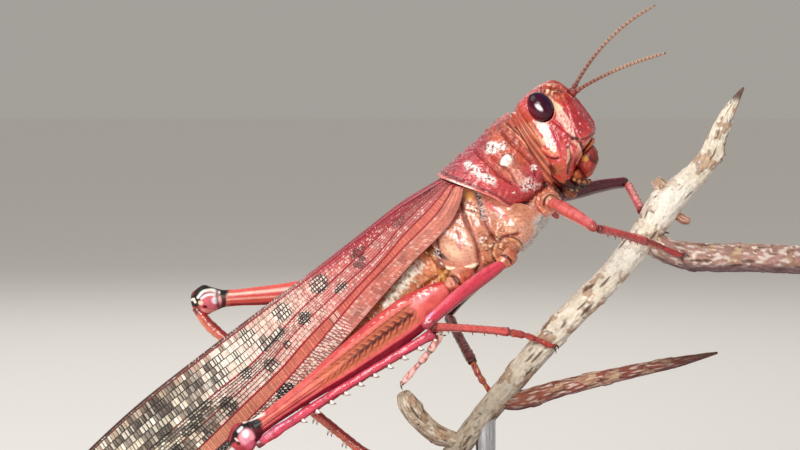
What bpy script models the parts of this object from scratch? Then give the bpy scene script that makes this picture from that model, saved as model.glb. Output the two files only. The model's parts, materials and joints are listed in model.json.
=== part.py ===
"""A life-size desert locust, Schistocerca gregaria, gripping a short cut twig on a small display stand.

World axes: +X the way the locust climbs, +Y its left, +Z up, origin under the middle of the stand.
The insect is drawn in its own body frame, in millimetres: x forwards along the body, y to its left,
z to its back. BODY_FRAME then pitches it head up and sets it against the twig.
"""

import math

import bmesh
import bpy
from mathutils import Matrix, Vector

MM = 0.001
GAP = 0.08  # clearance between two solids that meet
SHEET = 0.5  # least thickness of wings and feelers

BODY_PITCH = math.radians(38.4)
BODY_PLACE = Vector((7.2, 0.0, 42.3))
BODY_FRAME = Matrix.Translation(BODY_PLACE) @ Matrix.Rotation(-BODY_PITCH, 4, "Y")

SIDES = {"right": -1, "left": 1}  # the sign of y on each side of the body
FORWARD, LEFT, UP = Vector((1, 0, 0)), Vector((0, 1, 0)), Vector((0, 0, 1))

# Driving dimensions of the trunk, in body-frame millimetres.
CREST_FRONT, CREST_REAR = 6.75, 6.1  # height of the pronotum's keel at its two ends
LOBE_BOTTOM = -1.55
COLLAR_X, COLLAR_SLOPE = 9.95, 0.15  # front edge of the pronotum at the keel, and how it leans
SHIELD_EDGE = ((6.1, 0.55), (2.75, 2.75), (0.9, 3.8), (-0.4, 4.25), (-1.17, 4.7), (-1.6, 5.2), (-3.0, 6.6))
STERNUM_Z = -4.95
WAIST_X = -4.6  # thorax meets abdomen
ABDOMEN_CUTS = (-14.0, -23.0)
ABDOMEN_TIP_X = -31.5
WING_TIP_X = -53.5

# Driving dimensions of the limbs.
HIP = Vector((-5.5, 4.35, -3.2))
TIBIA_SPINES = 9
SPINE_LENGTH = 0.85

# Driving dimensions of the stand.
BASE_LENGTH, BASE_WIDTH, BASE_HEIGHT, BASE_ROUND = 54.0, 40.0, 4.0, 1.2
ROD_RADIUS = 1.0


def start_scene():
    for item in list(bpy.data.objects):
        bpy.data.objects.remove(item, do_unlink=True)
    parts = bpy.data.collections.new("desert_locust")
    cutters = bpy.data.collections.new("cutters")
    for group in (parts, cutters):
        bpy.context.scene.collection.children.link(group)
    return parts, cutters


PARTS, CUTTERS = start_scene()


def finish(name, colour, roughness, metallic=0.0):
    material = bpy.data.materials.new(name)
    material.use_nodes = True
    shader = material.node_tree.nodes["Principled BSDF"]
    shader.inputs["Base Color"].default_value = (*colour, 1.0)
    shader.inputs["Roughness"].default_value = roughness
    shader.inputs["Metallic"].default_value = metallic
    return material


CUTICLE = finish("pink_cuticle", (0.58, 0.13, 0.12), 0.35)
PLEURA = finish("tan_pleura", (0.60, 0.30, 0.19), 0.4)
MOUTH = finish("dark_mouthparts", (0.16, 0.06, 0.05), 0.4)
EYE = finish("eye", (0.03, 0.005, 0.015), 0.12)
FEELER = finish("feeler", (0.30, 0.17, 0.11), 0.5)
WING = finish("wing_leather", (0.52, 0.38, 0.30), 0.45)
FAN = finish("wing_membrane", (0.60, 0.52, 0.40), 0.35)
BELLY = finish("belly", (0.62, 0.36, 0.16), 0.45)
BARK = finish("bark", (0.46, 0.41, 0.34), 0.85)
STEEL = finish("rod_steel", (0.42, 0.42, 0.43), 0.3, 1.0)
WOOD = finish("base_wood", (0.07, 0.045, 0.03), 0.45)


def smooth_profile(*points):
    """A smooth function through (position, value) points, held level past the ends."""
    points = sorted(points)

    def slope(i):
        before, after = points[max(i - 1, 0)], points[min(i + 1, len(points) - 1)]
        return (after[1] - before[1]) / (after[0] - before[0])

    def value(x):
        if x <= points[0][0]:
            return points[0][1]
        for i in range(len(points) - 1):
            (x0, v0), (x1, v1) = points[i], points[i + 1]
            if x <= x1:
                span = x1 - x0
                t = (x - x0) / span
                rise = v0 * (1 + 2 * t) * (1 - t) ** 2 + v1 * t * t * (3 - 2 * t)
                return rise + span * (slope(i) * t * (1 - t) ** 2 - slope(i + 1) * t * t * (1 - t))
        return points[-1][1]

    return value


def blend(a, b, t):
    return a + (b - a) * t


def clamp(value, low=0.0, high=1.0):
    return min(max(value, low), high)


def rounded(value, power):
    """A cosine or sine squared off, so that a circle becomes a superellipse."""
    return math.copysign(abs(value) ** (2 / power), value)


def section(centre, across, upward, half_width, rise, drop, power=2.2, sides=12):
    """A closed ring about centre: half_width to each side, rise above it and drop below it."""
    ring = []
    for i in range(sides):
        turn = math.tau * (i + 0.5) / sides
        side, height = rounded(math.cos(turn), power), rounded(math.sin(turn), power)
        reach = rise if height > 0 else drop
        ring.append(centre + across * (half_width * side) + upward * (reach * height))
    return ring


def add_object(name, bm, material, frame=BODY_FRAME, group=PARTS):
    """Closes the mesh outwards, turns millimetres into metres and places it by its frame."""
    bmesh.ops.recalc_face_normals(bm, faces=bm.faces)
    bmesh.ops.scale(bm, vec=(MM, MM, MM), verts=bm.verts)
    mesh = bpy.data.meshes.new(name)
    bm.to_mesh(mesh)
    bm.free()
    mesh.shade_smooth()
    mesh.set_sharp_from_angle(angle=math.radians(50))
    mesh.materials.append(material)
    item = bpy.data.objects.new(name, mesh)
    group.objects.link(item)
    place, turn, _ = frame.decompose()
    item.rotation_mode = "QUATERNION"
    item.location, item.rotation_quaternion = place * MM, turn
    if group is CUTTERS:
        item.hide_render = True
        item.display_type = "WIRE"
    return item


def close_end(bm, loop, ruled):
    """Caps a loop with one face, or with a strip of level faces where the end is curved in profile."""
    if not ruled:
        bm.faces.new(loop)
        return
    quarter = len(loop) // 4
    left = loop[-quarter:] + loop[:quarter]
    right = loop[3 * quarter - 1:quarter - 1:-1]
    for i in range(len(left) - 1):
        bm.faces.new((left[i], left[i + 1], right[i + 1], right[i]))


def skin(rings, ruled=False):
    """A closed mesh over rings of equal count, in order along the piece."""
    bm = bmesh.new()
    loops = [[bm.verts.new(point) for point in ring] for ring in rings]
    for first, second in zip(loops, loops[1:]):
        for i, corner in enumerate(first):
            after = (i + 1) % len(first)
            bm.faces.new((corner, first[after], second[after], second[i]))
    for loop in (loops[0], loops[-1]):
        close_end(bm, loop, ruled)
    return bm


def carve(body, cutter):
    """Cuts the cutter's shape out of body."""
    cut = body.modifiers.new("socket_" + cutter.name, "BOOLEAN")
    cut.operation = "DIFFERENCE"
    cut.object = cutter


def limb_rings(path, sizes, upward, sides=8, power=2.0):
    """Rings square to a path. sizes holds (half height, half thickness) for each point."""
    rings = []
    last = len(path) - 1
    for i, (point, (tall, thick)) in enumerate(zip(path, sizes)):
        along = (path[min(i + 1, last)] - path[max(i - 1, 0)]).normalized()
        across = along.cross(upward).normalized()
        rings.append(section(point, across, across.cross(along), thick, tall, tall, power, sides))
    return rings


def bowed(start, end, bow, count):
    """Points from start to end, bowed sideways by the vector bow at the middle."""
    shares = [i / (count - 1) for i in range(count)]
    return [start.lerp(end, t) + bow * (4 * t * (1 - t)) for t in shares]


def mirrored(point, side):
    """A point given for the left side, moved to the side whose sign is given."""
    return Vector((point.x, point.y * side, point.z))


# ---------------------------------------------------------------- head

HEAD_BACK = smooth_profile((-2.2, 9.3), (-0.9, 9.02), (0.8, 9.28), (2.4, 9.5), (4.0, 9.74), (5.2, 9.95),
                           (6.1, 10.4), (6.7, 11.2), (6.98, 12.1))
HEAD_FRONT = smooth_profile((-2.2, 11.3), (-1.6, 12.0), (-0.9, 13.2), (-0.5, 14.7), (-0.1, 15.6), (0.8, 15.88),
                            (2.4, 16.0), (4.0, 16.0), (5.2, 15.85), (6.1, 15.55), (6.7, 15.05), (6.98, 14.2))
HEAD_HALF = smooth_profile((-2.2, 2.4), (-1.0, 3.45), (0.5, 3.75), (2.5, 3.5), (4.0, 3.1), (5.2, 2.65),
                           (6.1, 2.05), (6.7, 1.4), (6.98, 0.75))
HEAD_LEVELS = (-2.2, -1.6, -0.9, -0.5, -0.1, 0.9, 2.4, 4.0, 5.2, 6.1, 6.7, 6.98)

EYE_PLACE = Vector((12.8, 2.75, 5.22))
EYE_RADII = (1.17, 0.95, 1.6)
EYE_LEAN = math.radians(6)


def head_ring(z):
    back, front = HEAD_BACK(z), HEAD_FRONT(z)
    middle = Vector(((back + front) / 2, 0, z))
    half = (front - back) / 2
    return section(middle, LEFT, FORWARD, HEAD_HALF(z), half, half, 2.35, 18)


def make_eye(name, side, grow=0.0, group=PARTS):
    bm = bmesh.new()
    bmesh.ops.create_uvsphere(bm, u_segments=14, v_segments=9, radius=1.0)
    radii = [radius + grow for radius in EYE_RADII]
    splay = Matrix.Rotation(math.radians(-14) * side, 4, "X") @ Matrix.Rotation(EYE_LEAN, 4, "Y")
    place = Matrix.Translation(mirrored(EYE_PLACE, side)) @ splay @ Matrix.Diagonal((*radii, 1))
    bmesh.ops.transform(bm, matrix=place, verts=bm.verts)
    return add_object(name, bm, EYE, group=group)


def make_head():
    head = add_object("head", skin([head_ring(z) for z in HEAD_LEVELS]), CUTICLE)
    for word, side in SIDES.items():
        make_eye("eye_" + word, side)
        carve(head, make_eye("eye_socket_" + word, side, GAP, CUTTERS))
    return head


def make_labrum():
    """Clypeus and upper lip: a shield that hangs from the face over the jaws."""
    levels = ((-0.75, 14.9, 1.55), (-1.3, 14.5, 1.65), (-1.9, 14.4, 1.7), (-2.6, 13.95, 1.6), (-3.2, 12.8, 0.9))
    rings = []
    for z, front, half in levels:
        back = max(HEAD_FRONT(z), 11.75) + 0.15
        half_depth = (front - back) / 2
        middle = Vector((back + half_depth, 0, z))
        rings.append(section(middle, LEFT, FORWARD, half, half_depth, half_depth, 2.6, 12))
    add_object("labrum", skin(rings), CUTICLE)


def make_jaws():
    """One mandible each side, and the lower lip and maxillae as one block behind them."""
    for word, side in SIDES.items():
        rings = []
        for z, x, half, thick in ((-2.3, 11.05, 0.7, 0.8), (-2.9, 11.1, 0.65, 0.72), (-3.5, 11.2, 0.4, 0.45)):
            rings.append(section(Vector((x, side * 1.12, z)), LEFT, FORWARD, thick, half, half, 2.4, 10))
        add_object("mandible_" + word, skin(rings), MOUTH)
    rings = []
    for z, x, half, long in ((-2.3, 9.75, 1.8, 0.5), (-3.1, 9.8, 1.6, 0.5), (-3.8, 9.95, 1.1, 0.4)):
        rings.append(section(Vector((x, 0, z)), LEFT, FORWARD, half, long, long, 2.6, 12))
    add_object("labium", skin(rings), MOUTH)


def make_palps():
    for word, side in SIDES.items():
        root = Vector((10.9, side * 2.25, -2.55))
        path = [root, root + Vector((0.3, side * 0.1, -0.5)), root + Vector((0.6, 0, -1.0)),
                root + Vector((1.1, -side * 0.3, -1.5))]
        sizes = [(0.27, 0.27), (0.3, 0.3), (0.27, 0.27), (0.2, 0.2)]
        add_object("palp_" + word, skin(limb_rings(path, sizes, UP + FORWARD, 8)), FEELER)


FEELER_ROOT = Vector((16.45, 0.95, 4.3))
FEELERS = {
    # side: (tip, bow at the middle)
    "right": (Vector((25.35, -8.4, 1.8)), Vector((0.1, 0.3, 0.4))),
    "left": (Vector((28.0, 5.2, 6.1)), Vector((0.0, 0.3, 1.0))),
}


def make_feelers():
    for word, side in SIDES.items():
        root = mirrored(FEELER_ROOT, side)
        tip, bow = FEELERS[word]
        path = bowed(root + FORWARD * GAP, tip, bow, 12)
        sizes = [(0.45, 0.45), (0.36, 0.36)] + [(0.27, 0.27)] * 8 + [(0.26, 0.26), (0.16, 0.16)]
        add_object("antenna_" + word, skin(limb_rings(path, sizes, UP)), FEELER)


# ---------------------------------------------------------------- trunk


shield_edge = smooth_profile(*SHIELD_EDGE)  # x where the pronotum ends behind, at a height


def collar_edge(z):
    """Where the pronotum begins in front, at a height."""
    return COLLAR_X - COLLAR_SLOPE * (CREST_FRONT - z)


PRONOTUM_HALF = smooth_profile((0.0, 4.45), (0.3, 4.2), (0.62, 3.65), (0.85, 3.6), (1.0, 3.5))
PRONOTUM_CREST = smooth_profile((0.0, CREST_REAR), (0.3, 6.3), (0.6, 6.45), (0.85, 6.75), (1.0, 6.6))
PRONOTUM_LOBE = smooth_profile((0.0, -1.25), (0.3, LOBE_BOTTOM), (0.75, LOBE_BOTTOM + 0.1), (1.0, -0.95))
PRONOTUM_STATIONS = (0.0, 0.18, 0.38, 0.56, 0.7, 0.86, 1.0)


def pronotum_ring(share):
    """A saddle section: steep sides down to the lobes, and a low keel along the top."""
    half, crest, lobe = PRONOTUM_HALF(share), PRONOTUM_CREST(share), PRONOTUM_LOBE(share)
    middle = 2.0
    ring = section(Vector((0, 0, middle)), LEFT, UP, half, crest - middle, middle - lobe, 2.7, 20)
    for point in ring:
        lower = clamp((middle - point.z) / (middle - lobe))
        point.y *= 1 - 0.1 * lower * lower
        point.x = blend(shield_edge(point.z), collar_edge(point.z), share)
    return ring


def make_pronotum():
    add_object("pronotum", skin([pronotum_ring(share) for share in PRONOTUM_STATIONS], ruled=True), CUTICLE)


def make_neck():
    """The front of the chest below the shield, which carries the fore legs and reaches the head."""
    rings = []
    for x, half, bottom in ((6.45, 2.9, -3.9), (7.6, 3.0, -3.8), (8.6, 2.6, -3.3), (9.0, 2.2, -2.9)):
        top = LOBE_BOTTOM - GAP
        middle = Vector((x, 0, (top + bottom) / 2))
        rings.append(section(middle, LEFT, UP, half, top - middle.z, middle.z - bottom, 2.8, 12))
    return add_object("prosternum", skin(rings), PLEURA)


THORAX_STATIONS = (0.0, 0.12, 0.35, 0.62, 0.85, 1.0)
THORAX_HALF = smooth_profile((0.0, 3.5), (0.3, 4.0), (0.7, 4.1), (1.0, 3.55))
THORAX_TOP = smooth_profile((0.0, 4.7), (0.5, 5.0), (1.0, 5.2))
THORAX_BOTTOM = smooth_profile((0.0, -4.6), (0.3, STERNUM_Z), (0.7, STERNUM_Z), (1.0, -4.0))


THORAX_FRONT = smooth_profile((5.2, 1.0), (2.75, 2.55), (0.9, 3.6), (-1.75, 4.4), (-3.05, 6.2), (STERNUM_Z, 5.9))


def thorax_ring(share):
    """share runs from the waist to the front, where the section follows the shield's hind edge."""
    half, top, bottom = THORAX_HALF(share), THORAX_TOP(share), THORAX_BOTTOM(share)
    middle = -0.6
    ring = section(Vector((0, 0, middle)), LEFT, UP, half, top - middle, middle - bottom, 2.8, 20)
    for point in ring:
        above = clamp((point.z - 0.6) / (top - 0.6))
        point.y *= 1 - 0.2 * above
        rear = WAIST_X + 0.12 * (point.z - bottom)
        point.x = blend(rear, THORAX_FRONT(point.z), share)
    return ring


def make_thorax():
    return add_object("thorax", skin([thorax_ring(share) for share in THORAX_STATIONS], ruled=True), PLEURA)


BELLY_HALF = smooth_profile((-4.6, 3.0), (-9, 2.95), (-14, 2.85), (-20, 2.5), (-26, 2.1), (-30, 1.5), (-31.5, 0.8))
BELLY_TOP = smooth_profile((-4.6, 4.5), (-14, 4.0), (-23, 3.2), (-29, 2.6), (-31.5, 1.6))
BELLY_BOTTOM = smooth_profile((-4.6, -4.4), (-9, -4.4), (-16, -3.9), (-23, -2.9), (-28.5, -2.0), (-31.5, 0.1))


def belly_ring(x):
    top, bottom = BELLY_TOP(x), BELLY_BOTTOM(x)
    middle = bottom + 0.36 * (top - bottom)
    ring = section(Vector((x, 0, middle)), LEFT, UP, BELLY_HALF(x), top - middle, middle - bottom, 2.15, 14)
    for point in ring:
        above = clamp((point.z - middle) / (top - middle))
        point.y *= 1 - 0.16 * above
    return ring


def make_abdomen():
    """The abdomen in three lengths of a few segments each."""
    starts = (WAIST_X - 0.15, *(cut - GAP for cut in ABDOMEN_CUTS))
    ends = (*ABDOMEN_CUTS, ABDOMEN_TIP_X)
    for word, start, end in zip(("front", "middle", "tip"), starts, ends):
        rings = [belly_ring(blend(start, end, i / 4)) for i in range(5)]
        if word == "front":
            for point in rings[0]:
                point.x = min(point.x, WAIST_X + 0.12 * (point.z - THORAX_BOTTOM(0)) - 0.12)
        add_object("abdomen_" + word, skin(rings), BELLY)


# ---------------------------------------------------------------- wings

WING_STATIONS = (0.4, -3.5, -8.5, -15, -22, -29, -36, -42, -47, -50.8, -52.8, WING_TIP_X)
WING_LOW = smooth_profile((0.4, 3.7), (-0.9, 2.75), (-2.8, 1.7), (-6.4, 1.05), (-10.6, 0.3), (-15.6, -0.65),
                          (-24, -1.8), (-32, -2.25), (-40, -2.3), (-46, -1.7), (-50, -0.4), (-52.5, 1.1),
                          (WING_TIP_X, 2.3))
WING_TOP = smooth_profile((0.4, 5.85), (-4, 6.5), (-16, 6.8), (-36, 6.85), (-42, 6.5), (-47, 5.9), (-50.5, 4.9),
                          (-52.6, 3.9), (WING_TIP_X, 2.9))
WING_FOOT_Y = smooth_profile((0.4, 4.3), (-5, 4.4), (-12, 4.1), (-20, 3.6), (-28, 3.05), (-36, 2.45), (-44, 1.75),
                             (-50, 1.2), (WING_TIP_X, 0.85))
WING_SHOULDER_Y = smooth_profile((0.4, 3.9), (-6, 3.7), (-14, 3.0), (-22, 2.3), (-30, 1.5), (-37, 0.95),
                                 (WING_TIP_X, 0.75))
WING_BULGE = smooth_profile((0.4, 0.1), (-12, 0.2), (-40, 0.25), (WING_TIP_X, 0.05))
WING_SEAM = 0.12  # half the slit between the two wings along the back
SIDE_SHARE = 0.8  # share of the section that is the upright field; the rest is the roof over the back


def wing_point(x, t):
    """(y, z) on the outer face of a left forewing: t runs from the front margin, below, to the seam."""
    low, top = WING_LOW(x), WING_TOP(x)
    foot, shoulder = WING_FOOT_Y(x), WING_SHOULDER_Y(x)
    roof = min(0.3, 0.2 * (top - low))
    if t <= SIDE_SHARE:
        s = t / SIDE_SHARE
        return blend(foot, shoulder, s * s) + WING_BULGE(x) * math.sin(math.pi * s), blend(low, top - roof, s)
    s = (t - SIDE_SHARE) / (1 - SIDE_SHARE)
    return blend(shoulder, WING_SEAM, s), top - roof + roof * math.sin(s * math.pi / 2)


def wing_ring(x, depth_out, depth_in, shares):
    """The section of a sheet that lies between two depths under the forewing's outer face."""
    outer, inner = [], []
    for t in shares:
        y, z = wing_point(x, t)
        before, after = wing_point(x, max(t - 0.02, 0)), wing_point(x, min(t + 0.02, 1))
        along = Vector((0, after[0] - before[0], after[1] - before[1])).normalized()
        inward = FORWARD.cross(along) if t < 0.99 else -UP
        for depth, face in ((depth_out, outer), (depth_in, inner)):
            point = Vector((x, y, z)) + inward * depth
            point.y = max(point.y, WING_SEAM)
            face.append(point)
    return outer + inner[::-1]


def make_wing(name, side, stations, depths, shares, material):
    rings = []
    for x in stations:
        ring = wing_ring(x, *depths, shares)
        slant = clamp((x + 6) / 6.4)
        for point in ring:
            point.x += slant * (shield_edge(point.z) - shield_edge(CREST_REAR))
            point.y *= side
        rings.append(ring)
    add_object(name, skin(rings), material)


def make_wings():
    upright = (0.0, 0.16, 0.32, 0.48, 0.64, 0.8, 0.9, 1.0)
    folded = (0.12, 0.28, 0.44, 0.6, 0.72)
    fan_stations = (-3.6, -8.5, -15, -22, -29, -36, -42, -47, -50)
    for word, side in SIDES.items():
        make_wing("forewing_" + word, side, WING_STATIONS, (0.0, SHEET), upright, WING)
        make_wing("hindwing_" + word, side, fan_stations, (SHEET + GAP, 2 * SHEET + GAP), folded, FAN)


# ---------------------------------------------------------------- legs


def make_segment(name, path, sizes, upward, material=CUTICLE, sides=8, power=2.0, group=PARTS, grow=0.0):
    sizes = [(tall + grow, thick + grow) for tall, thick in sizes]
    return add_object(name, skin(limb_rings(path, sizes, upward, sides, power)), material, group=group)


def step_from(point, towards, distance):
    return point + (towards - point).normalized() * distance


def make_coxa(name, start, end, radius, body):
    """The hip segment, set into a socket in the body."""
    path = [start, start.lerp(end, 0.4), start.lerp(end, 0.8), end]
    sizes = [(radius * share,) * 2 for share in (0.7, 1.0, 0.92, 0.6)]
    make_segment(name, path, sizes, FORWARD, PLEURA)
    cutter = make_segment(name + "_socket", path, sizes, FORWARD, PLEURA, group=CUTTERS, grow=GAP)
    carve(body, cutter)


def make_tarsus(name, ankle, bend, toe):
    """The foot: three joints that swell and narrow, from the ankle over a bend to the toe."""
    path = [ankle, ankle.lerp(bend, 0.5), bend, bend.lerp(toe, 0.25), bend.lerp(toe, 0.8), toe]
    sizes = [(radius, radius) for radius in (0.25, 0.36, 0.27, 0.27, 0.33, 0.26)]
    make_segment(name, path, sizes, UP + FORWARD * 0.3)


FRONT_LEGS = {
    # leg: (hip socket, end of coxa, knee, ankle, bend of the foot, toe)
    "fore_right": ((7.6, -2.2, -2.4), (7.87, -3.3, -2.95), (9.84, -10.3, -7.13), (12.73, -5.0, -11.38),
                   (13.57, -2.6, -12.97), (14.54, -1.8, -14.8)),
    "fore_left": ((7.7, 2.2, -2.4), (8.9, 3.3, -3.3), (14.82, 8.85, -6.32), (14.26, 2.5, -9.3),
                  (14.32, 2.2, -10.4), (14.45, 2.0, -12.1)),
    "mid_right": ((1.6, -2.4, -4.2), (0.37, -3.5, -4.65), (-9.2, -6.9, -4.6), (-3.5, -2.0, -10.33),
                  (-2.2, -1.9, -11.87), (-0.96, -1.75, -14.12)),
    "mid_left": ((1.6, 2.4, -4.2), (0.37, 3.5, -4.65), (-8.23, 9.3, -5.63), (-8.54, 2.2, -10.76),
                 (-8.85, 1.85, -12.4), (-8.98, 1.7, -14.84)),
}


def make_front_legs(prosternum, thorax):
    for name, places in FRONT_LEGS.items():
        socket, hip, knee, ankle, bend, toe = (Vector(place) for place in places)
        body = prosternum if name.startswith("fore") else thorax
        make_coxa("coxa_" + name, socket, hip, 0.95, body)
        start, knee_end = step_from(hip, knee, 0.25), step_from(knee, hip, 0.4)
        path = bowed(start, knee_end, UP * 0.25, 5)
        sizes = [(0.55, 0.5), (0.68, 0.6), (0.64, 0.56), (0.55, 0.5), (0.6, 0.52)]
        make_segment("femur_" + name, path, sizes, UP, sides=10)
        fold = clamp((hip - knee).normalized().dot((ankle - knee).normalized()))
        path = bowed(step_from(knee, ankle, 0.55 + 0.9 * fold), step_from(ankle, knee, 0.05), UP * 0.12, 4)
        sizes = [(0.42, 0.4), (0.4, 0.38), (0.37, 0.36), (0.42, 0.4)]
        make_segment("tibia_" + name, path, sizes, UP + FORWARD * 0.5)
        make_tarsus("tarsus_" + name, step_from(ankle, bend, 0.12), bend, toe)


HIND_DEPTH = smooth_profile((0.0, 0.9), (0.06, 1.4), (0.15, 1.85), (0.27, 1.9), (0.4, 1.7), (0.52, 1.4),
                            (0.64, 1.05), (0.76, 0.85), (0.87, 0.8), (0.93, 1.25), (0.96, 1.5), (1.0, 0.95))
HIND_THICK = smooth_profile((0.0, 0.75), (0.1, 1.15), (0.25, 1.25), (0.5, 1.0), (0.75, 0.75), (0.88, 0.7),
                            (0.96, 1.05), (1.0, 0.7))
HIND_STATIONS = (0.0, 0.04, 0.1, 0.18, 0.3, 0.42, 0.54, 0.68, 0.8, 0.885, 0.925, 0.96, 0.987, 1.0)
KNEE_REACH = 1.4  # from the middle of the knee to the end of the femur

HIND_LEGS = {
    # leg: (middle of the knee, bow of the femur, tibia from knee to ankle, foot from heel to toe)
    "hind_right": ((-29.95, -5.4, -2.25), (0.0, -0.25, 0.0),
                   ((-29.4, -5.4, -4.25), (-27.3, -5.35, -3.95), (-18.7, -5.3, -4.75), (-8.9, -4.8, -5.95)),
                   ((-8.75, -4.7, -6.75), (-10.8, -4.4, -6.95), (-14.5, -4.0, -7.75))),
    "hind_left": ((-26.8, 7.7, 10.95), (0.0, 0.75, 0.0),
                  ((-28.7, 7.6, 10.0), (-27.95, 7.3, 8.2), (-25.6, 5.6, -2.3), (-23.1, 4.25, -12.2)),
                  ((-23.0, 4.1, -12.9), (-22.6, 3.2, -14.6), (-21.6, 1.65, -17.8))),
}


def make_hind_femur(name, hip, knee, bow):
    """The jumping femur: deep near the body, a narrow neck, then the swollen knee."""
    end = step_from(knee, hip, -KNEE_REACH)
    path = [hip.lerp(end, share) + bow * (4 * share * (1 - share)) for share in HIND_STATIONS]
    sizes = [(HIND_DEPTH(share), HIND_THICK(share)) for share in HIND_STATIONS]
    make_segment(name, path, sizes, UP, sides=12, power=1.85)


def make_hind_tibia(name, waypoints):
    """A slim shaft whose far face carries two rows of spines that lean towards the foot."""
    knee, bend, middle, ankle = (Vector(point) for point in waypoints)
    length = (ankle - bend).length

    def along(distance):
        t = distance / length
        return bend.lerp(ankle, t) + (middle - bend.lerp(ankle, (middle - bend).length / length)) * 4 * t * (1 - t)

    step = length / (TIBIA_SPINES + 2)
    marks = [step * (i + 1.6) + shift for i in range(TIBIA_SPINES) for shift in (-0.24, 0.24)]
    distances = [0.0, *marks, length]
    path = [knee, knee.lerp(bend, 0.45)] + [along(distance) for distance in distances]
    sizes = [(0.4, 0.4), (0.52, 0.5)] + [(0.5, 0.46) for _ in distances]
    sizes[-1] = (0.62, 0.6)
    upward = (middle - Vector((middle.x, middle.y, 20))).normalized() * -1
    rings = limb_rings(path, sizes, upward if abs((ankle - bend).normalized().z) < 0.6 else FORWARD)
    bm = skin(rings)
    bm.faces.ensure_lookup_table()
    outward = -UP if abs((ankle - bend).normalized().z) < 0.6 else -FORWARD
    for number in range(TIBIA_SPINES):
        first = 3 + 2 * number
        faces = bm.faces[first * 8:first * 8 + 8]
        facing = sorted(faces, key=lambda face: face.calc_center_median().dot(outward))[-2:]
        for face in facing:
            towards = (face.calc_center_median() - path[first].lerp(path[first + 1], 0.5)).normalized()
            made = bmesh.ops.poke(bm, faces=[face])["verts"][0]
            made.co += towards * SPINE_LENGTH + (ankle - bend).normalized() * 0.45
            bm.faces.ensure_lookup_table()
    add_object(name, bm, CUTICLE)


def make_hind_legs(thorax):
    for name, (knee, bow, waypoints, foot) in HIND_LEGS.items():
        side = SIDES[name.split("_")[1]]
        hip = mirrored(HIP, side)
        knee, bow = Vector(knee), Vector(bow)
        hip_end = step_from(hip, knee, -0.4)
        make_coxa("coxa_" + name, hip_end + Vector((2.4, -side * 1.3, 0.1)), hip_end, 1.1, thorax)
        make_hind_femur("femur_" + name, hip, knee, bow)
        make_hind_tibia("tibia_" + name, waypoints)
        make_tarsus("tarsus_" + name, *(Vector(point) for point in foot))


# ---------------------------------------------------------------- perch and stand, in world millimetres

STEM_ROUTE = ((0.2, 12.6), (1.9, 15.0), (3.7, 17.4), (5.6, 19.7), (7.3, 22.0), (9.9, 25.2), (12.5, 28.4),
              (15.0, 31.3), (17.8, 34.2), (20.6, 37.0), (22.7, 39.5), (24.7, 42.1), (26.3, 44.6), (28.0, 46.3),
              (29.6, 47.9), (30.8, 49.6), (31.6, 51.5), (32.4, 53.5), (33.3, 55.3))
STEM_RADII = (1.15, 1.1, 1.1, 1.1, 1.15, 1.2, 1.25, 1.3, 1.3, 1.3, 1.35, 1.5, 1.75, 1.4, 1.15, 1.0, 0.9, 0.65, 0.35)
SIDE_ROUTE = ((24.2, 41.4), (26.8, 40.0), (29.4, 39.45), (35.7, 39.35), (41.0, 39.1))
SIDE_RADII = (1.0, 1.25, 1.4, 1.4, 1.4)
THORN_ROUTE = ((9.8, 24.9), (12.0, 25.0), (16.0, 26.2), (22.0, 27.7), (27.9, 29.0), (31.6, 29.9))
THORN_RADII = (0.8, 0.95, 0.85, 0.7, 0.5, 0.12)
SPUR_ROUTE = ((5.6, 20.8, 0.0), (3.6, 21.8, -1.2), (2.0, 23.4, -2.3), (1.0, 25.0, -3.1), (0.6, 25.9, -3.5))
SPUR_RADII = (0.85, 0.95, 1.0, 1.0, 0.75)
BRANCHES = {"side_shoot": (SIDE_ROUTE, SIDE_RADII), "thorn": (THORN_ROUTE, THORN_RADII),
            "spur": (SPUR_ROUTE, SPUR_RADII)}
ROD_X = 8.6
ROD_TOP = 23.4


def make_twig(name, route, radii, sides, group=PARTS):
    path = [Vector((point[0], point[2] if len(point) > 2 else 0.0, point[1])) for point in route]
    rings = limb_rings(path, [(radius, radius) for radius in radii], LEFT, sides)
    return add_object(name, skin(rings), BARK, Matrix.Identity(4), group)


def make_perch():
    """The cut twig: a stem with one cut side shoot, one thorn and one short spur, grown together."""
    stem = make_twig("perch", STEM_ROUTE, STEM_RADII, 12)
    for name, (route, radii) in BRANCHES.items():
        branch = make_twig(name, route, radii, 10, CUTTERS)
        join = stem.modifiers.new(name, "BOOLEAN")
        join.operation = "UNION"
        join.object = branch
    return stem


def make_stand(perch):
    """A bevelled wooden plate and one steel rod that ends in a hole in the twig."""
    bm = bmesh.new()
    bmesh.ops.create_cube(bm, size=1.0)
    bmesh.ops.scale(bm, vec=(BASE_LENGTH, BASE_WIDTH, BASE_HEIGHT), verts=bm.verts)
    bmesh.ops.translate(bm, vec=(0, 0, BASE_HEIGHT / 2), verts=bm.verts)
    plate = add_object("stand_base", bm, WOOD, Matrix.Identity(4))
    bevel = plate.modifiers.new("rounded_edges", "BEVEL")
    bevel.width = BASE_ROUND * MM
    bevel.segments = 3
    for name, grow, group in (("stand_rod", 0.0, PARTS), ("rod_hole", GAP, CUTTERS)):
        foot, tip = BASE_HEIGHT + GAP, ROD_TOP + grow
        bm = bmesh.new()
        bmesh.ops.create_cone(bm, cap_ends=True, segments=16, radius1=ROD_RADIUS + grow,
                              radius2=ROD_RADIUS + grow, depth=tip - foot)
        bmesh.ops.translate(bm, vec=(ROD_X, 0, (tip + foot) / 2), verts=bm.verts)
        item = add_object(name, bm, STEEL, Matrix.Identity(4), group)
    carve(perch, item)


make_head()
make_labrum()
make_jaws()
make_palps()
make_feelers()
make_pronotum()
PROSTERNUM = make_neck()
THORAX = make_thorax()
make_abdomen()
make_wings()
make_front_legs(PROSTERNUM, THORAX)
make_hind_legs(THORAX)
make_stand(make_perch())
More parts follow.
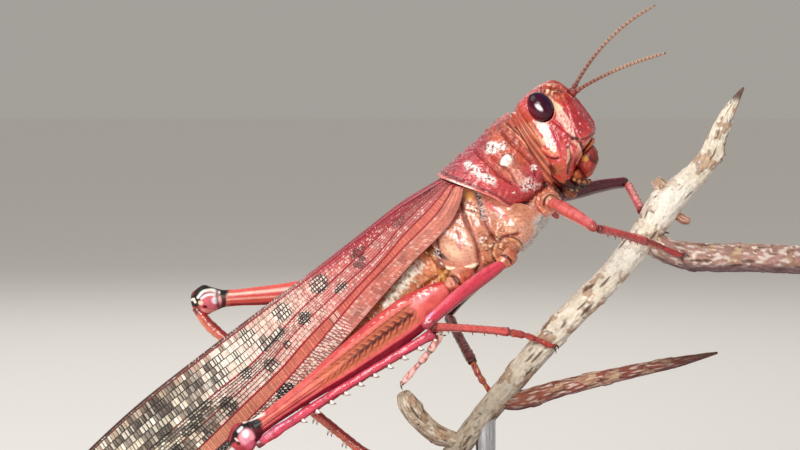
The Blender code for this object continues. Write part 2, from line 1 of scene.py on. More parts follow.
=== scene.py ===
# %% [markdown]
# # A desert locust on a cut twig
#
# The subject is a museum model of a pink young adult desert locust, life size, that grips a twig on a small
# stand. The solid parts come ready made in one frame, and this lesson dresses them. A locust wears its
# skeleton outside: hard plates with grooves between them, so the dressing keeps the plates as separate
# pieces and gives each one a finer mesh, its relief, its markings and its gloss. Everything is worked out
# in millimetres along the body and only turned into metres at the end, because a plate is easiest to
# think about along its own axis.

import json
import math

import bpy
import numpy as np
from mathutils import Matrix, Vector

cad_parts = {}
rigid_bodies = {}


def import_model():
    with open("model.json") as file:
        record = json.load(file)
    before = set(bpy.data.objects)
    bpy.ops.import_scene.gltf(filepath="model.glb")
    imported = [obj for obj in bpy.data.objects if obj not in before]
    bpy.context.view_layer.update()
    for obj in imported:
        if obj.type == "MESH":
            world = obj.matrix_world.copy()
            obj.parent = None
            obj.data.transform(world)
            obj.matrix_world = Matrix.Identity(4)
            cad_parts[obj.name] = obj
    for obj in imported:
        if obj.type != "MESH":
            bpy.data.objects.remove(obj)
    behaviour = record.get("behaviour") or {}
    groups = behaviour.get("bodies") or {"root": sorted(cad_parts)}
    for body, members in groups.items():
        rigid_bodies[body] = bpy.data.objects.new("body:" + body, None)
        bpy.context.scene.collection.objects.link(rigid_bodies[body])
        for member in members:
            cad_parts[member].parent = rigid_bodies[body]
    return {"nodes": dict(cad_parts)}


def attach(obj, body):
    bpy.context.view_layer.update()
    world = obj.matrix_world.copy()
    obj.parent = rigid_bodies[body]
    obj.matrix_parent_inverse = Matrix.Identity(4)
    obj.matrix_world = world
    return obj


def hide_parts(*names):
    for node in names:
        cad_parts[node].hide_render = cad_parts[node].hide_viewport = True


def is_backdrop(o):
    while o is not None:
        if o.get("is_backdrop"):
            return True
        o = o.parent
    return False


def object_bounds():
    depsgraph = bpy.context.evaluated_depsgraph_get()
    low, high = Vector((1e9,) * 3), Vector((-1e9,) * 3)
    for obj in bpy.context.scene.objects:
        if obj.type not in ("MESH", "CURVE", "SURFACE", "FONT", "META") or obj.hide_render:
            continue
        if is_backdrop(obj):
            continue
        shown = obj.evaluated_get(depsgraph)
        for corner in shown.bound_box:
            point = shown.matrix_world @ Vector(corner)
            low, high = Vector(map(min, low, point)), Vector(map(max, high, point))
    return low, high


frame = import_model()
nodes = frame["nodes"]
solid_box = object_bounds()
MM = 0.001
span = (solid_box[1] - solid_box[0]) / MM
print(f"{len(nodes)} solid parts, {span.x:.1f} x {span.y:.1f} x {span.z:.1f} mm")

# %% [markdown]
# ## Camera
#
# A macro picture is taken with a long lens from close by, which keeps the far legs almost as large as the
# near ones. A 110 mm lens a quarter of a metre away gives that look. The camera stands a little to the
# animal's head side and a touch above it, and it is placed first because it decides how fine every mesh
# has to be: a tenth of a millimetre is about the smallest step that shows.

# %% Camera
VIEW_TURN = math.radians(4)
VIEW_RISE = math.radians(3)
LENS, FILM, FIELD_WIDTH = 110.0, 36.0, 80.0
AIM = Vector((0.0, 0.0, 42.5))

back = Vector((math.sin(VIEW_TURN) * math.cos(VIEW_RISE), -math.cos(VIEW_TURN) * math.cos(VIEW_RISE),
               math.sin(VIEW_RISE)))
camera_data = bpy.data.cameras.new("macro_camera")
camera_data.lens = LENS
camera_data.sensor_width = FILM
camera_data.clip_start = 0.01
camera_data.clip_end = 20.0
camera = bpy.data.objects.new("macro_camera", camera_data)
camera.location = (AIM + back * (FIELD_WIDTH / FILM * LENS)) * MM
camera.rotation_mode = "QUATERNION"
camera.rotation_quaternion = (-back).to_track_quat("-Z", "Y")
bpy.context.scene.collection.objects.link(camera)
bpy.context.scene.camera = camera
print("camera at", [round(value / MM) for value in camera.location], "mm")

# %% [markdown]
# ## Measuring tools
#
# A few small helpers carry the whole lesson. The body frame has x forwards along the insect, y to its left
# and z to its back, and it is pitched up against the twig. A profile is a smooth curve through a few
# chosen sizes, which is how a sculptor's section drawing works too. They are written for arrays, so that
# a plate of fifty thousand points is shaped in one go.

# %% Measuring tools
BODY_PITCH = math.radians(38.4)
BODY_PLACE = np.array((7.2, 0.0, 42.3))
SIDES = {"right": -1, "left": 1}


def to_world(points):
    """Body-frame millimetres to metres in the frame of the solids."""
    x, y, z = np.moveaxis(np.asarray(points, float), -1, 0)
    turned = (x * math.cos(BODY_PITCH) - z * math.sin(BODY_PITCH), y,
              x * math.sin(BODY_PITCH) + z * math.cos(BODY_PITCH))
    return (np.stack(turned, -1) + BODY_PLACE) * MM


def standing(points):
    """World millimetres to metres, for the twig."""
    return np.asarray(points, float) * MM


def profile(*points):
    """A smooth function through a few (place, value) points, level past both ends."""
    places, values = np.array(sorted(points), float).T
    order = np.arange(len(places))
    before, after = np.maximum(order - 1, 0), np.minimum(order + 1, len(places) - 1)
    slopes = (values[after] - values[before]) / (places[after] - places[before])

    def value(x):
        x = np.clip(np.asarray(x, float), places[0], places[-1])
        i = np.clip(np.searchsorted(places, x) - 1, 0, len(places) - 2)
        gap = places[i + 1] - places[i]
        t = (x - places[i]) / gap
        rise = values[i] * (1 + 2 * t) * (1 - t) ** 2 + values[i + 1] * t * t * (3 - 2 * t)
        return rise + gap * (slopes[i] * t * (1 - t) ** 2 - slopes[i + 1] * t * t * (1 - t))

    return value


def ramp(low, high, value):
    """0 below low, 1 above high, and an easy slope between. Works downwards too."""
    t = np.clip((value - low) / (high - low), 0, 1)
    return t * t * (3 - 2 * t)


def squared(value, power):
    """A cosine or sine squared off, so that a circle becomes a superellipse."""
    return np.sign(value) * np.abs(value) ** (2 / power)


def turns(count):
    """Angles once round a section, starting at its left side."""
    return np.linspace(0, math.tau, count, endpoint=False)


def curve(route, count):
    """A smooth line of count points, evenly spaced, through a few points in any number of dimensions."""
    route = np.array(route, float)
    reach = np.concatenate(([0], np.cumsum(np.linalg.norm(np.diff(route, axis=0), axis=1))))
    steps = np.linspace(0, reach[-1], count)
    return np.stack([profile(*zip(reach, column))(steps) for column in route.T], -1)


def normals(grid):
    """Unit vectors square to a grid of points, pointing away from the middle of each row."""
    down = np.gradient(grid, axis=0)
    round_ = np.roll(grid, -1, 1) - np.roll(grid, 1, 1)
    square = np.cross(down, round_)
    square /= np.linalg.norm(square, axis=-1, keepdims=True) + 1e-12
    outward = (square * (grid - grid.mean(1, keepdims=True))).sum(-1).mean()
    return square if outward > 0 else -square


def raised(grid, height):
    """The grid moved outwards by a height, in millimetres, at each point."""
    return grid + normals(grid) * np.asarray(height)[..., None]


def grain(points, size, seed=0, waves=14):
    """A smooth random field, about -1 to 1, whose lumps are about size millimetres across."""
    dice = np.random.default_rng(seed)
    total = np.zeros(points.shape[:-1])
    for _ in range(waves):
        direction = dice.normal(size=points.shape[-1])
        direction /= np.linalg.norm(direction)
        total += np.sin(points @ direction * (math.tau / size * dice.uniform(0.6, 1.5))
                        + dice.uniform(0, math.tau))
    return total / math.sqrt(waves) * 1.2


print("a line of 5 points:", curve(((0, 0), (1, 1), (2, 0)), 5).round(2).tolist())

# %% [markdown]
# ## Painting tools
#
# The markings of an insect are part of its cuticle. They could be an image, but an image needs an unwrap
# and repeats badly. Here each marking is a named shape, such as a stroke along a short route or an oval
# spot, laid on the points of the mesh one after another like glazes, and stored as a colour attribute.
# The shader then breaks the attribute up with fine noise, so a stroke never looks like flat paint.

# %% Painting tools


def shade(red, green, blue):
    """A colour named as on a paint card, 0 to 255, turned into the linear values that light needs."""
    card = np.array((red, green, blue), float) / 255
    return np.where(card <= 0.04045, card / 12.92, ((card + 0.055) / 1.055) ** 2.4)


def as_light(colour):
    """A plain triple is read from the paint card. Anything else is light already."""
    return shade(*colour) if isinstance(colour, tuple) else colour


def wash(shape, colour):
    """A first even coat."""
    return np.broadcast_to(as_light(colour), (*shape, 3)).copy()


def lay(coat, amount, colour, strength=1.0):
    """Lays a colour over the coat where amount is above 0."""
    share = np.clip(amount, 0, 1)[..., None] * strength
    coat += (as_light(colour) - coat) * share


def paint(coat, glazes):
    """Lays glazes one after another. Each is (amount, colour, strength), full strength if left out."""
    for glaze in glazes:
        lay(coat, *glaze)


def blend(colour, tone, share):
    """The colour, moved by a share of the way towards a tone."""
    return colour + (tone - colour) * share


def bell(value, middle, width):
    """1 where the value is at the middle, falling off softly over the width on both sides."""
    return np.exp(-((value - middle) / width) ** 2)


def spot(a, b, at, radii, lean=0.0, soft=0.35):
    """1 inside an oval at a place, fading over a soft edge. lean turns it, in degrees."""
    turn = math.radians(lean)
    da, db = a - at[0], b - at[1]
    u = (da * math.cos(turn) + db * math.sin(turn)) / radii[0]
    v = (db * math.cos(turn) - da * math.sin(turn)) / radii[1]
    return 1 - ramp(1 - soft, 1 + soft, np.hypot(u, v))


def beside(route, a, b, count=40):
    """Distance from a smooth line through a few points, and the share of the way along it."""
    line = curve(route, count)
    best = np.full(a.shape, 1e9)
    share = np.zeros(a.shape)
    for i, (start, end) in enumerate(zip(line, line[1:])):
        step = end - start
        t = np.clip(((a - start[0]) * step[0] + (b - start[1]) * step[1]) / (step @ step), 0, 1)
        distance = np.hypot(a - start[0] - t * step[0], b - start[1] - t * step[1])
        closer = distance < best
        best = np.where(closer, distance, best)
        share = np.where(closer, (i + t) / (count - 1), share)
    return best, share


def stroke(route, a, b, width, soft=0.5):
    """1 on a line of the given half width, fading over soft of it. width may be a profile along the line."""
    distance, share = beside(route, a, b)
    half = width(share) if callable(width) else width
    return 1 - ramp(1 - soft, 1 + soft, distance / half)


print("rose on the paint card is", shade(205, 88, 84).round(3).tolist(), "in light")

# %% [markdown]
# ## From grid to piece
#
# Every plate, tube and bead of the insect is a grid of points wrapped round on itself. One function closes
# its ends with low domes, and another turns it into a mesh with its colour and gloss on the points. Doing
# it once, in one place, keeps the many pieces alike, and each piece hides the solid it stands for.

# %% From grid to piece


def with_domes(grid, coat, gloss, lifts=(0.1, 0.1), steps=4):
    """Adds shrinking rows at both ends, so that a tube closes in a low dome."""
    for end, lift in ((0, lifts[0]), (-1, lifts[1])):
        row, inner = grid[end], grid[1 if end == 0 else -2]
        middle = row.mean(0)
        outward = middle - inner.mean(0)
        outward /= np.linalg.norm(outward) + 1e-12
        rows = []
        for step in range(1, steps + 1):
            turn = math.pi / 2 * step / steps
            shrink = max(math.cos(turn), 0.02)
            rows.append(middle + (row - middle) * shrink + outward * lift * math.sin(turn))
        rows = np.array(rows)
        colours, shine = np.repeat(coat[[end]], steps, 0), np.repeat(gloss[[end]], steps, 0)
        if end == 0:
            grid, coat = np.concatenate((rows[::-1], grid)), np.concatenate((colours, coat))
            gloss = np.concatenate((shine, gloss))
        else:
            grid, coat = np.concatenate((grid, rows)), np.concatenate((coat, colours))
            gloss = np.concatenate((gloss, shine))
    return grid, coat, gloss


def build(name, points, faces, coat, gloss, material, placing=to_world, unwrap=None):
    """A mesh object from points in millimetres, with its tint and gloss on the points."""
    mesh = bpy.data.meshes.new(name)
    mesh.from_pydata(placing(points), [], faces)
    mesh.attributes.new("tint", "FLOAT_COLOR", "POINT").data.foreach_set(
        "color", np.concatenate((coat, np.ones((len(coat), 1))), 1).astype(np.float32).ravel())
    mesh.attributes.new("gloss", "FLOAT", "POINT").data.foreach_set("value", gloss.astype(np.float32))
    if unwrap is not None:
        corners = np.zeros(len(mesh.loops), np.int32)
        mesh.loops.foreach_get("vertex_index", corners)
        layer = mesh.uv_layers.new(name="OFBake")
        layer.data.foreach_set("uv", unwrap[corners].astype(np.float32).ravel())
    mesh.materials.append(material)
    mesh.polygons.foreach_set("use_smooth", np.full(len(mesh.polygons), True))
    mesh.update()
    piece = bpy.data.objects.new(name, mesh)
    bpy.context.scene.collection.objects.link(piece)
    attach(piece, "root")
    return piece


def grid_faces(rows, columns, closed=True):
    """Quads over a grid whose points are numbered row by row."""
    i, j = np.meshgrid(np.arange(rows - 1), np.arange(columns if closed else columns - 1), indexing="ij")
    k = (j + 1) % columns
    quads = np.stack((i * columns + j, i * columns + k, (i + 1) * columns + k, (i + 1) * columns + j), -1)
    return quads.reshape(-1, 4)


def facing_out(grid, quads):
    """Turns the quads round if they face inwards."""
    flat = grid.reshape(-1, 3)
    corners = flat[quads]
    square = np.cross(corners[:, 2] - corners[:, 0], corners[:, 3] - corners[:, 1])
    rows = quads[:, 0] // grid.shape[1]
    away = corners.mean(1) - grid.mean(1)[rows]
    return quads if (square * away).sum() > 0 else quads[:, ::-1]


def make_shell(name, grid, coat, gloss, material, stands_for=(), placing=to_world,
               domes=(0.1, 0.1)):
    """A closed tube or plate with domed ends, made into a piece."""
    gloss = np.broadcast_to(gloss, grid.shape[:2])
    grid, coat, gloss = with_domes(grid, coat, gloss, domes)
    rows, columns = grid.shape[:2]
    faces = facing_out(grid, grid_faces(rows, columns)).tolist()
    ends = [list(range(columns)), list(range((rows - 1) * columns, rows * columns))]
    if faces[0][0] < faces[0][1] or faces[0][1] == 0:
        ends[0].reverse()
    else:
        ends[1].reverse()
    piece = build(name, grid.reshape(-1, 3), faces + ends, coat.reshape(-1, 3), gloss.ravel(), material,
                  placing)
    if stands_for:
        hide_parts(*stands_for)
    return piece


def make_cluster(name, parts, material, stands_for=()):
    """Many small closed meshes joined as one piece. Each part is (points, faces, coat, gloss)."""
    start, points, faces, coats, shine = 0, [], [], [], []
    for part_points, part_faces, part_coat, part_gloss in parts:
        count = len(part_points)
        points.append(part_points)
        faces += [[corner + start for corner in face] for face in part_faces]
        coats.append(np.broadcast_to(part_coat, (count, 3)))
        shine.append(np.broadcast_to(part_gloss, (count,)))
        start += count
    piece = build(name, np.concatenate(points), faces, np.concatenate(coats), np.concatenate(shine),
                  material)
    if stands_for:
        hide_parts(*stands_for)
    return piece


def as_part(grid, coat, gloss, domes=(0.1, 0.1)):
    """A closed tube as one part of a cluster."""
    coat = np.broadcast_to(coat, grid.shape)
    gloss = np.broadcast_to(gloss, grid.shape[:2])
    grid, coat, gloss = with_domes(grid, coat, gloss, domes)
    faces = facing_out(grid, grid_faces(*grid.shape[:2])).tolist()
    return grid.reshape(-1, 3), faces, coat.reshape(-1, 3), gloss.ravel()


def tube(route, count, tall, thick, upward=(0, 0, 1), columns=20, power=2.0):
    """A tube round a smooth route. tall and thick are half sizes, as profiles or numbers.
    Returns the grid, the share along it for each row, and how far up and across each column lies."""
    line = curve(route, count)
    share = np.linspace(0, 1, count)
    along = np.gradient(line, axis=0)
    along /= np.linalg.norm(along, axis=1, keepdims=True)
    across = np.cross(along, np.array(upward, float))
    across /= np.linalg.norm(across, axis=1, keepdims=True)
    rising = np.cross(across, along)
    turn = turns(columns)
    aside, up = squared(np.cos(turn), power), squared(np.sin(turn), power)
    half_tall = tall(share) if callable(tall) else np.full(count, float(tall))
    half_thick = thick(share) if callable(thick) else np.full(count, float(thick))
    grid = (line[:, None] + across[:, None] * (half_thick[:, None] * aside)[..., None]
            + rising[:, None] * (half_tall[:, None] * up)[..., None])
    shares = np.repeat(share[:, None], columns, 1)
    return grid, shares, np.broadcast_to(up, shares.shape), np.broadcast_to(aside, shares.shape)


print("a tube of", tube(((0, 0, 0), (1, 0, 0)), 4, 0.2, 0.2)[0].shape, "points")

# %% [markdown]
# ## Cuticle and its relatives
#
# Insect cuticle is a varnished plastic: a coloured layer under a thin clear one, with pits and fine
# wrinkles that break its highlights into sparks. A plain colour with low roughness looks like a toy, so
# one recipe is shared by all the plates: the painted tint, a noise that shifts it lighter and darker, two
# sizes of bump, and a clear coat. Only its numbers change between polished face and leathery wing.

# %% Cuticle and its relatives


def plug(tree, node, sockets):
    """Fills sockets of a node: the output of another node is linked, any other value is set."""
    for name, value in sockets.items():
        if isinstance(value, bpy.types.NodeSocket):
            tree.links.new(value, node.inputs[name])
        else:
            node.inputs[name].default_value = value


def add_node(tree, kind, sockets, output=0, **settings):
    """Adds a shader node and gives back one of its outputs."""
    node = tree.nodes.new("ShaderNode" + kind)
    for name, value in settings.items():
        setattr(node, name, value)
    plug(tree, node, sockets)
    return node.outputs[output]


def new_material(name, sockets):
    """A material with a plain shader: gives back the material, its tree and the shader."""
    material = bpy.data.materials.new(name)
    material.use_nodes = True
    shader = material.node_tree.nodes["Principled BSDF"]
    plug(material.node_tree, shader, sockets)
    return material, material.node_tree, shader


FINE_SHARE, BROAD_SHARE = 0.55, 0.45
PIT_SHARE, RELIEF_DEPTH = 0.6, 0.12
VARNISH_ROUGHNESS = 0.12


def finish(name, rough=(0.25, 0.5), coat=0.3, bump=0.3, grain_size=0.35, pit_size=0.25, mottle=0.25,
           specular=0.5, depth=1.3):
    """A procedural finish over the painted tint. Sizes are in millimetres. depth above 1 deepens the tint."""
    material, tree, shader = new_material(name, {
        "Coat Weight": coat, "Coat Roughness": VARNISH_ROUGHNESS, "Specular IOR Level": specular})
    place = add_node(tree, "TexCoord", {}, "Object")
    tint = add_node(tree, "Attribute", {}, "Color", attribute_name="tint")
    gloss = add_node(tree, "Attribute", {}, "Fac", attribute_name="gloss")
    fine, broad = (add_node(tree, "TexNoise", {"Scale": 1 / (size * MM), "Detail": detail, "Roughness": 0.55,
                                               "Vector": place}, "Fac")
                   for size, detail in ((grain_size, 3.0), (grain_size * 5, 2.0)))
    part = add_node(tree, "Math", {0: broad, 1: BROAD_SHARE}, operation="MULTIPLY")
    mixed = add_node(tree, "Math", {0: fine, 1: FINE_SHARE, 2: part}, operation="MULTIPLY_ADD")
    value = add_node(tree, "MapRange", {"From Min": 0.3, "From Max": 0.7, "To Min": 1 - mottle,
                                        "To Max": 1 + mottle * 0.8, "Value": mixed}, "Result")
    deepened = add_node(tree, "Gamma", {"Gamma": depth, "Color": tint}, "Color")
    tinted = add_node(tree, "VectorMath", {0: deepened, "Scale": value}, operation="SCALE")
    stirred = add_node(tree, "Math", {0: fine, 1: 0.5, 2: -0.25}, operation="MULTIPLY_ADD")
    summed = add_node(tree, "Math", {0: gloss, 1: stirred}, operation="ADD")
    roughness = add_node(tree, "MapRange", {"From Min": 0.0, "From Max": 1.0, "To Min": rough[1],
                                            "To Max": rough[0], "Value": summed}, "Result")
    pits = add_node(tree, "TexVoronoi", {"Scale": 1 / (pit_size * MM), "Vector": place}, "Distance")
    dents = add_node(tree, "MapRange", {"From Min": 0.1, "From Max": 0.45, "Value": pits}, "Result")
    lumps = add_node(tree, "Math", {0: dents, 1: PIT_SHARE, 2: fine}, operation="MULTIPLY_ADD")
    relief = add_node(tree, "Bump", {"Strength": bump, "Distance": RELIEF_DEPTH * MM, "Height": lumps},
                      "Normal")
    plug(tree, shader, {"Base Color": tinted, "Roughness": roughness, "Normal": relief})
    return material


face_cuticle = finish("face_cuticle", (0.16, 0.5), coat=0.45, bump=0.35, grain_size=0.3, pit_size=0.3)
shield_cuticle = finish("shield_cuticle", (0.16, 0.5), coat=0.5, bump=0.6, grain_size=0.3, pit_size=0.34)
flank_cuticle = finish("flank_cuticle", (0.14, 0.45), coat=0.55, bump=0.22, grain_size=0.35, pit_size=0.5)
leg_cuticle = finish("leg_cuticle", (0.18, 0.45), coat=0.45, bump=0.3, grain_size=0.22, pit_size=0.3,
                     mottle=0.22)
thigh_cuticle = finish("thigh_cuticle", (0.35, 0.65), coat=0.12, bump=0.3, grain_size=0.22, pit_size=0.3,
                       specular=0.3, mottle=0.22)
belly_cuticle = finish("belly_cuticle", (0.2, 0.5), coat=0.4, bump=0.4, grain_size=0.3)
mouth_cuticle = finish("mouth_cuticle", (0.25, 0.55), coat=0.2, specular=0.35, bump=0.3, grain_size=0.2)
feeler_cuticle = finish("feeler_cuticle", (0.3, 0.55), coat=0.2, bump=0.3, grain_size=0.15)
wing_leather = finish("wing_leather", (0.3, 0.55), coat=0.25, bump=0.25, grain_size=0.2, pit_size=0.2)
vein_leather = finish("vein_leather", (0.25, 0.45), coat=0.35, bump=0.2, grain_size=0.2, pit_size=0.2)
fan_membrane = finish("fan_membrane", (0.2, 0.4), coat=0.3, bump=0.2, grain_size=0.4)
claw_horn = finish("claw_horn", (0.15, 0.3), coat=0.6, bump=0.1, grain_size=0.15, mottle=0.15)
hair_finish = finish("hair_finish", (0.4, 0.6), coat=0.0, bump=0.0, grain_size=0.5, mottle=0.12, depth=1.0)
bark_finish = finish("bark_finish", (0.6, 0.95), coat=0.0, bump=0.9, grain_size=0.35, pit_size=0.5,
                     mottle=0.3, specular=0.25, depth=1.1)
print(len(bpy.data.materials), "materials so far")

# %% [markdown]
# ## The eye
#
# A locust's eye is a smooth dark bean of thousands of facets, each smaller than a hair's width, under a
# mirror-bright surface. Modelling the facets would be wasted at this size. An oval with a fine honeycomb
# bump and a clear coat gives the wet look, and a pale patch under the coat keeps the bright glint that
# makes the animal look alive. The oval has the size and place of the solid one, and stands a little more
# upright, because a domed eye turns its face to the light.

# %% Eyes
EYE_PLACE = np.array((12.8, 2.75, 5.22))
EYE_RADII = np.array((1.17, 0.95, 1.6))
EYE_SPLAY, EYE_LEAN = math.radians(16), math.radians(6)
FACET_SIZE, FACET_DEPTH, EYE_CLOUD_SIZE = 0.06, 0.02, 0.9

eye_glass, eye_tree, eye_shader = new_material("eye_glass", {
    "Roughness": 0.3, "Coat Weight": 0.45, "Coat Roughness": 0.05, "Specular IOR Level": 0.1})
eye_place = add_node(eye_tree, "TexCoord", {}, "Object")
eye_tint = add_node(eye_tree, "Attribute", {}, "Color", attribute_name="tint")
eye_cloud = add_node(eye_tree, "TexNoise", {"Scale": 1 / (EYE_CLOUD_SIZE * MM), "Vector": eye_place}, "Fac")
eye_range = add_node(eye_tree, "MapRange", {"To Min": 0.55, "To Max": 1.5, "Value": eye_cloud}, "Result")
eye_colour = add_node(eye_tree, "VectorMath", {0: eye_tint, "Scale": eye_range}, operation="SCALE")
facets = add_node(eye_tree, "TexVoronoi", {"Scale": 1 / (FACET_SIZE * MM), "Vector": eye_place}, "Distance")
facet_bump = add_node(eye_tree, "Bump", {"Strength": 0.12, "Distance": FACET_DEPTH * MM, "Height": facets},
                      "Normal")
plug(eye_tree, eye_shader, {"Base Color": eye_colour, "Normal": facet_bump})


def oval(centre, radii, tilt=np.eye(3), rows=28, columns=44):
    """A closed oval as a grid, its poles along its own z."""
    rise = np.linspace(-math.pi / 2, math.pi / 2, rows)[1:-1]
    turn = turns(columns)
    unit = np.stack((np.cos(rise)[:, None] * np.cos(turn), np.cos(rise)[:, None] * np.sin(turn),
                     np.repeat(np.sin(rise)[:, None], columns, 1)), -1)
    return (unit * np.asarray(radii)) @ np.asarray(tilt).T + np.asarray(centre), unit


def eye_tilt(side):
    """The way the oval leans: its top inwards and a little forwards."""
    a, b = EYE_SPLAY * side, EYE_LEAN
    splay = np.array(((1, 0, 0), (0, math.cos(a), -math.sin(a)), (0, math.sin(a), math.cos(a))))
    lean = np.array(((math.cos(b), 0, math.sin(b)), (0, 1, 0), (-math.sin(b), 0, math.cos(b))))
    return splay @ lean


def eye_local(points, side):
    """Points as seen from the eye: 1 is on its surface."""
    return ((points - EYE_PLACE * (1, side, 1)) @ eye_tilt(side)) / EYE_RADII


for word, side in SIDES.items():
    grid, unit = oval(EYE_PLACE * (1, side, 1), EYE_RADII, eye_tilt(side), 44, 72)
    coat = wash(grid.shape[:2], (58, 2, 26))
    paint(coat, (
        (ramp(0.1, 0.9, unit[..., 2]), (40, 2, 32)),
        (ramp(0.2, 0.9, unit[..., 0]), (40, 2, 50)),
        (ramp(-0.2, -0.9, unit[..., 0]), (96, 4, 30)),
    ))
    # A painted highlight: a pale patch under the coat where the window light shows on the eye.
    sheen_spot = spot(unit[..., 0], unit[..., 2], (-0.1, -0.16), (0.15, 0.3), 28, 0.4)
    lay(coat, sheen_spot * ramp(0.3, 0.6, unit[..., 1] * side), (250, 244, 255), 0.95)
    make_shell("eye_" + word + "_lens", grid, coat, 1.0, eye_glass, ("eye_" + word,),
               domes=(0.01, 0.01))
print("two eyes,", 2 * EYE_RADII[2], "mm tall")

# %% [markdown]
# ## The head capsule
#
# The head is one hard box. Its landmarks are the lines that the muscles pull on: a keel down the middle of
# the face, a keel each side from the feeler to the jaw, a furrow under the eye and a swollen cheek. It
# could be sculpted by hand, but lines that cross from one plate to the next are easier to keep sharp when
# they are written as routes in side view. The same routes then carry the relief and the colour, so a
# groove is dark exactly where it is deep.

# %% Head shape
HEAD_BACK = profile((-2.2, 9.3), (-0.9, 9.02), (0.8, 9.28), (2.4, 9.5), (4.0, 9.74), (5.2, 9.9), (6.1, 10.2),
                    (6.7, 10.9), (6.98, 11.9))
HEAD_FRONT = profile((-2.2, 11.3), (-1.6, 12.0), (-0.9, 13.2), (-0.5, 14.7), (-0.1, 15.6), (0.8, 15.88),
                     (2.4, 16.0), (4.0, 16.0), (5.2, 15.85), (6.1, 15.55), (6.7, 15.05), (6.98, 14.2))
HEAD_HALF = profile((-2.2, 2.4), (-1.0, 3.45), (0.5, 3.75), (2.5, 3.5), (4.0, 3.1), (5.2, 2.65), (6.1, 2.05),
                    (6.7, 1.4), (6.98, 0.75))
HEAD_POWER = 2.35

FACE_KEEL = ((15.3, 4.7), (15.0, 3.4), (14.5, 2.1), (14.25, 1.1), (13.95, 0.35))
CREAM_STRIPE = ((14.15, 5.8), (13.95, 5.2), (14.1, 4.1), (13.95, 2.9), (13.75, 1.8), (13.6, 0.95))
EYE_FURROW = ((12.95, 3.5), (13.2, 2.4), (13.35, 1.4), (13.45, 0.75))
CHEEK_GLARE_ROUTE = ((11.75, 4.0), (11.75, 3.1), (11.45, 2.0), (11.3, 0.9))
CHEEK_EDGE = ((12.3, 3.5), (12.35, 2.6), (12.05, 1.5), (11.75, 0.6))
HEAD_RIM = ((10.55, 4.6), (10.15, 3.4), (10.15, 2.4), (10.45, 1.3), (10.9, 0.45), (11.3, 0.2))
JAW_SUTURE = ((13.4, 0.8), (13.75, 0.45), (13.68, -0.3), (13.2, -1.0), (12.4, -1.65))
JAW_RIM = ((13.2, 0.55), (13.38, -0.05), (13.05, -0.8), (12.2, -1.45))
JAW_BACK = ((12.55, 0.5), (12.2, -0.3), (11.55, -1.0), (10.9, -1.6))
FACE_SEAM = ((13.9, 0.25), (14.5, -0.05), (15.2, -0.1), (15.9, -0.1))

HEAD_COLUMNS = 300
levels = np.concatenate((np.linspace(-2.2, 6.6, 150), np.linspace(6.63, 6.98, 14)))
turn = turns(HEAD_COLUMNS)
back_x, front_x = HEAD_BACK(levels), HEAD_FRONT(levels)
head_grid = np.stack((
    ((back_x + front_x) / 2)[:, None]
    + ((front_x - back_x) / 2)[:, None] * squared(np.sin(turn), HEAD_POWER),
    HEAD_HALF(levels)[:, None] * squared(np.cos(turn), HEAD_POWER),
    np.repeat(levels[:, None], len(turn), 1)), -1)
x, y, z = np.moveaxis(head_grid, -1, 0)
flank = np.abs(y)
side_on = ramp(0.6, 1.4, flank)
front_on = ramp(14.6, 15.6, x)
face_keel = stroke(FACE_KEEL, x, z, 0.16, 0.6) * side_on
eye_furrow = stroke(EYE_FURROW, x, z, 0.13, 0.6) * side_on
cheek_edge = stroke(CHEEK_EDGE, x, z, 0.1, 0.6) * side_on
head_rim = stroke(HEAD_RIM, x, z, 0.13, 0.6) * side_on
jaw_suture = stroke(JAW_SUTURE, x, z, 0.11, 0.5) * side_on
jaw_rim = stroke(JAW_RIM, x, z, 0.14, 0.5) * side_on
jaw_back = stroke(JAW_BACK, x, z, 0.12, 0.5) * side_on
face_seam = stroke(FACE_SEAM, x, z, 0.09, 0.5) * ramp(13.7, 14.0, x)
costa = 1 - ramp(0.5, 0.75, flank)
costa_edge = bell(flank, 0.55, 0.13)
brow = np.exp(-((flank - 1.15 - 0.1 * (z - 5.3)) / 0.14) ** 2) * ramp(4.9, 5.3, z) * ramp(13.2, 14.4, x)
eye_gap = np.minimum(*(np.linalg.norm(eye_local(head_grid, side), axis=-1) for side in (-1, 1)))
socket_rim = bell(eye_gap, 1.13, 0.06)
socket_dip = 1 - ramp(0.98, 1.07, eye_gap)
feeler_socket = spot(flank, z, (0.95, 4.35), (0.42, 0.5), soft=0.2) * front_on
feeler_rim = bell(np.hypot((flank - 0.95) / 0.42, (z - 4.35) / 0.5), 1.15, 0.16) * front_on
wrinkle = grain(head_grid, 0.8, 1) * 0.012 + grain(head_grid, 0.35, 2) * 0.008

head_height = (0.11 * face_keel - 0.1 * eye_furrow - 0.07 * cheek_edge + 0.12 * head_rim - 0.16 * jaw_suture
               + 0.1 * jaw_rim - 0.1 * jaw_back - 0.1 * face_seam
               + 0.16 * spot(x, z, (11.55, 2.2), (0.8, 1.7), -8, 0.7) * side_on
               + 0.12 * spot(x, z, (12.6, -0.5), (0.6, 0.9), 25, 0.6) * side_on
               + (0.07 * costa + 0.09 * costa_edge) * front_on * ramp(0.2, 0.8, z)
               + 0.1 * brow + 0.11 * socket_rim - 0.35 * socket_dip
               - 0.22 * feeler_socket + 0.08 * feeler_rim + wrinkle)
head_shaped = raised(head_grid, head_height)
print("head relief", head_height.min().round(2), "to", head_height.max().round(2), "mm")

# %% [markdown]
# The face is painted in the order that a model painter would work: the rose ground, the warmer and cooler
# regions, the cream bar beside the eye and the pale cheek bar with a painted white highlight on it, and
# last the dark lines in the grooves. A little magenta goes on the edges of the face, where the living
# cuticle is thin and lets light through. Painted highlights also go on the brow and the crown, and painted
# shade round the eye and in the feeler sockets.

# %% Head colours
ROSE = shade(214, 92, 88)
RED = shade(206, 62, 70)
MAGENTA = shade(198, 62, 112)
CREAM = shade(252, 226, 196)
WHITE = shade(255, 250, 246)
ORANGE = shade(206, 112, 70)
DARK = shade(52, 16, 22)

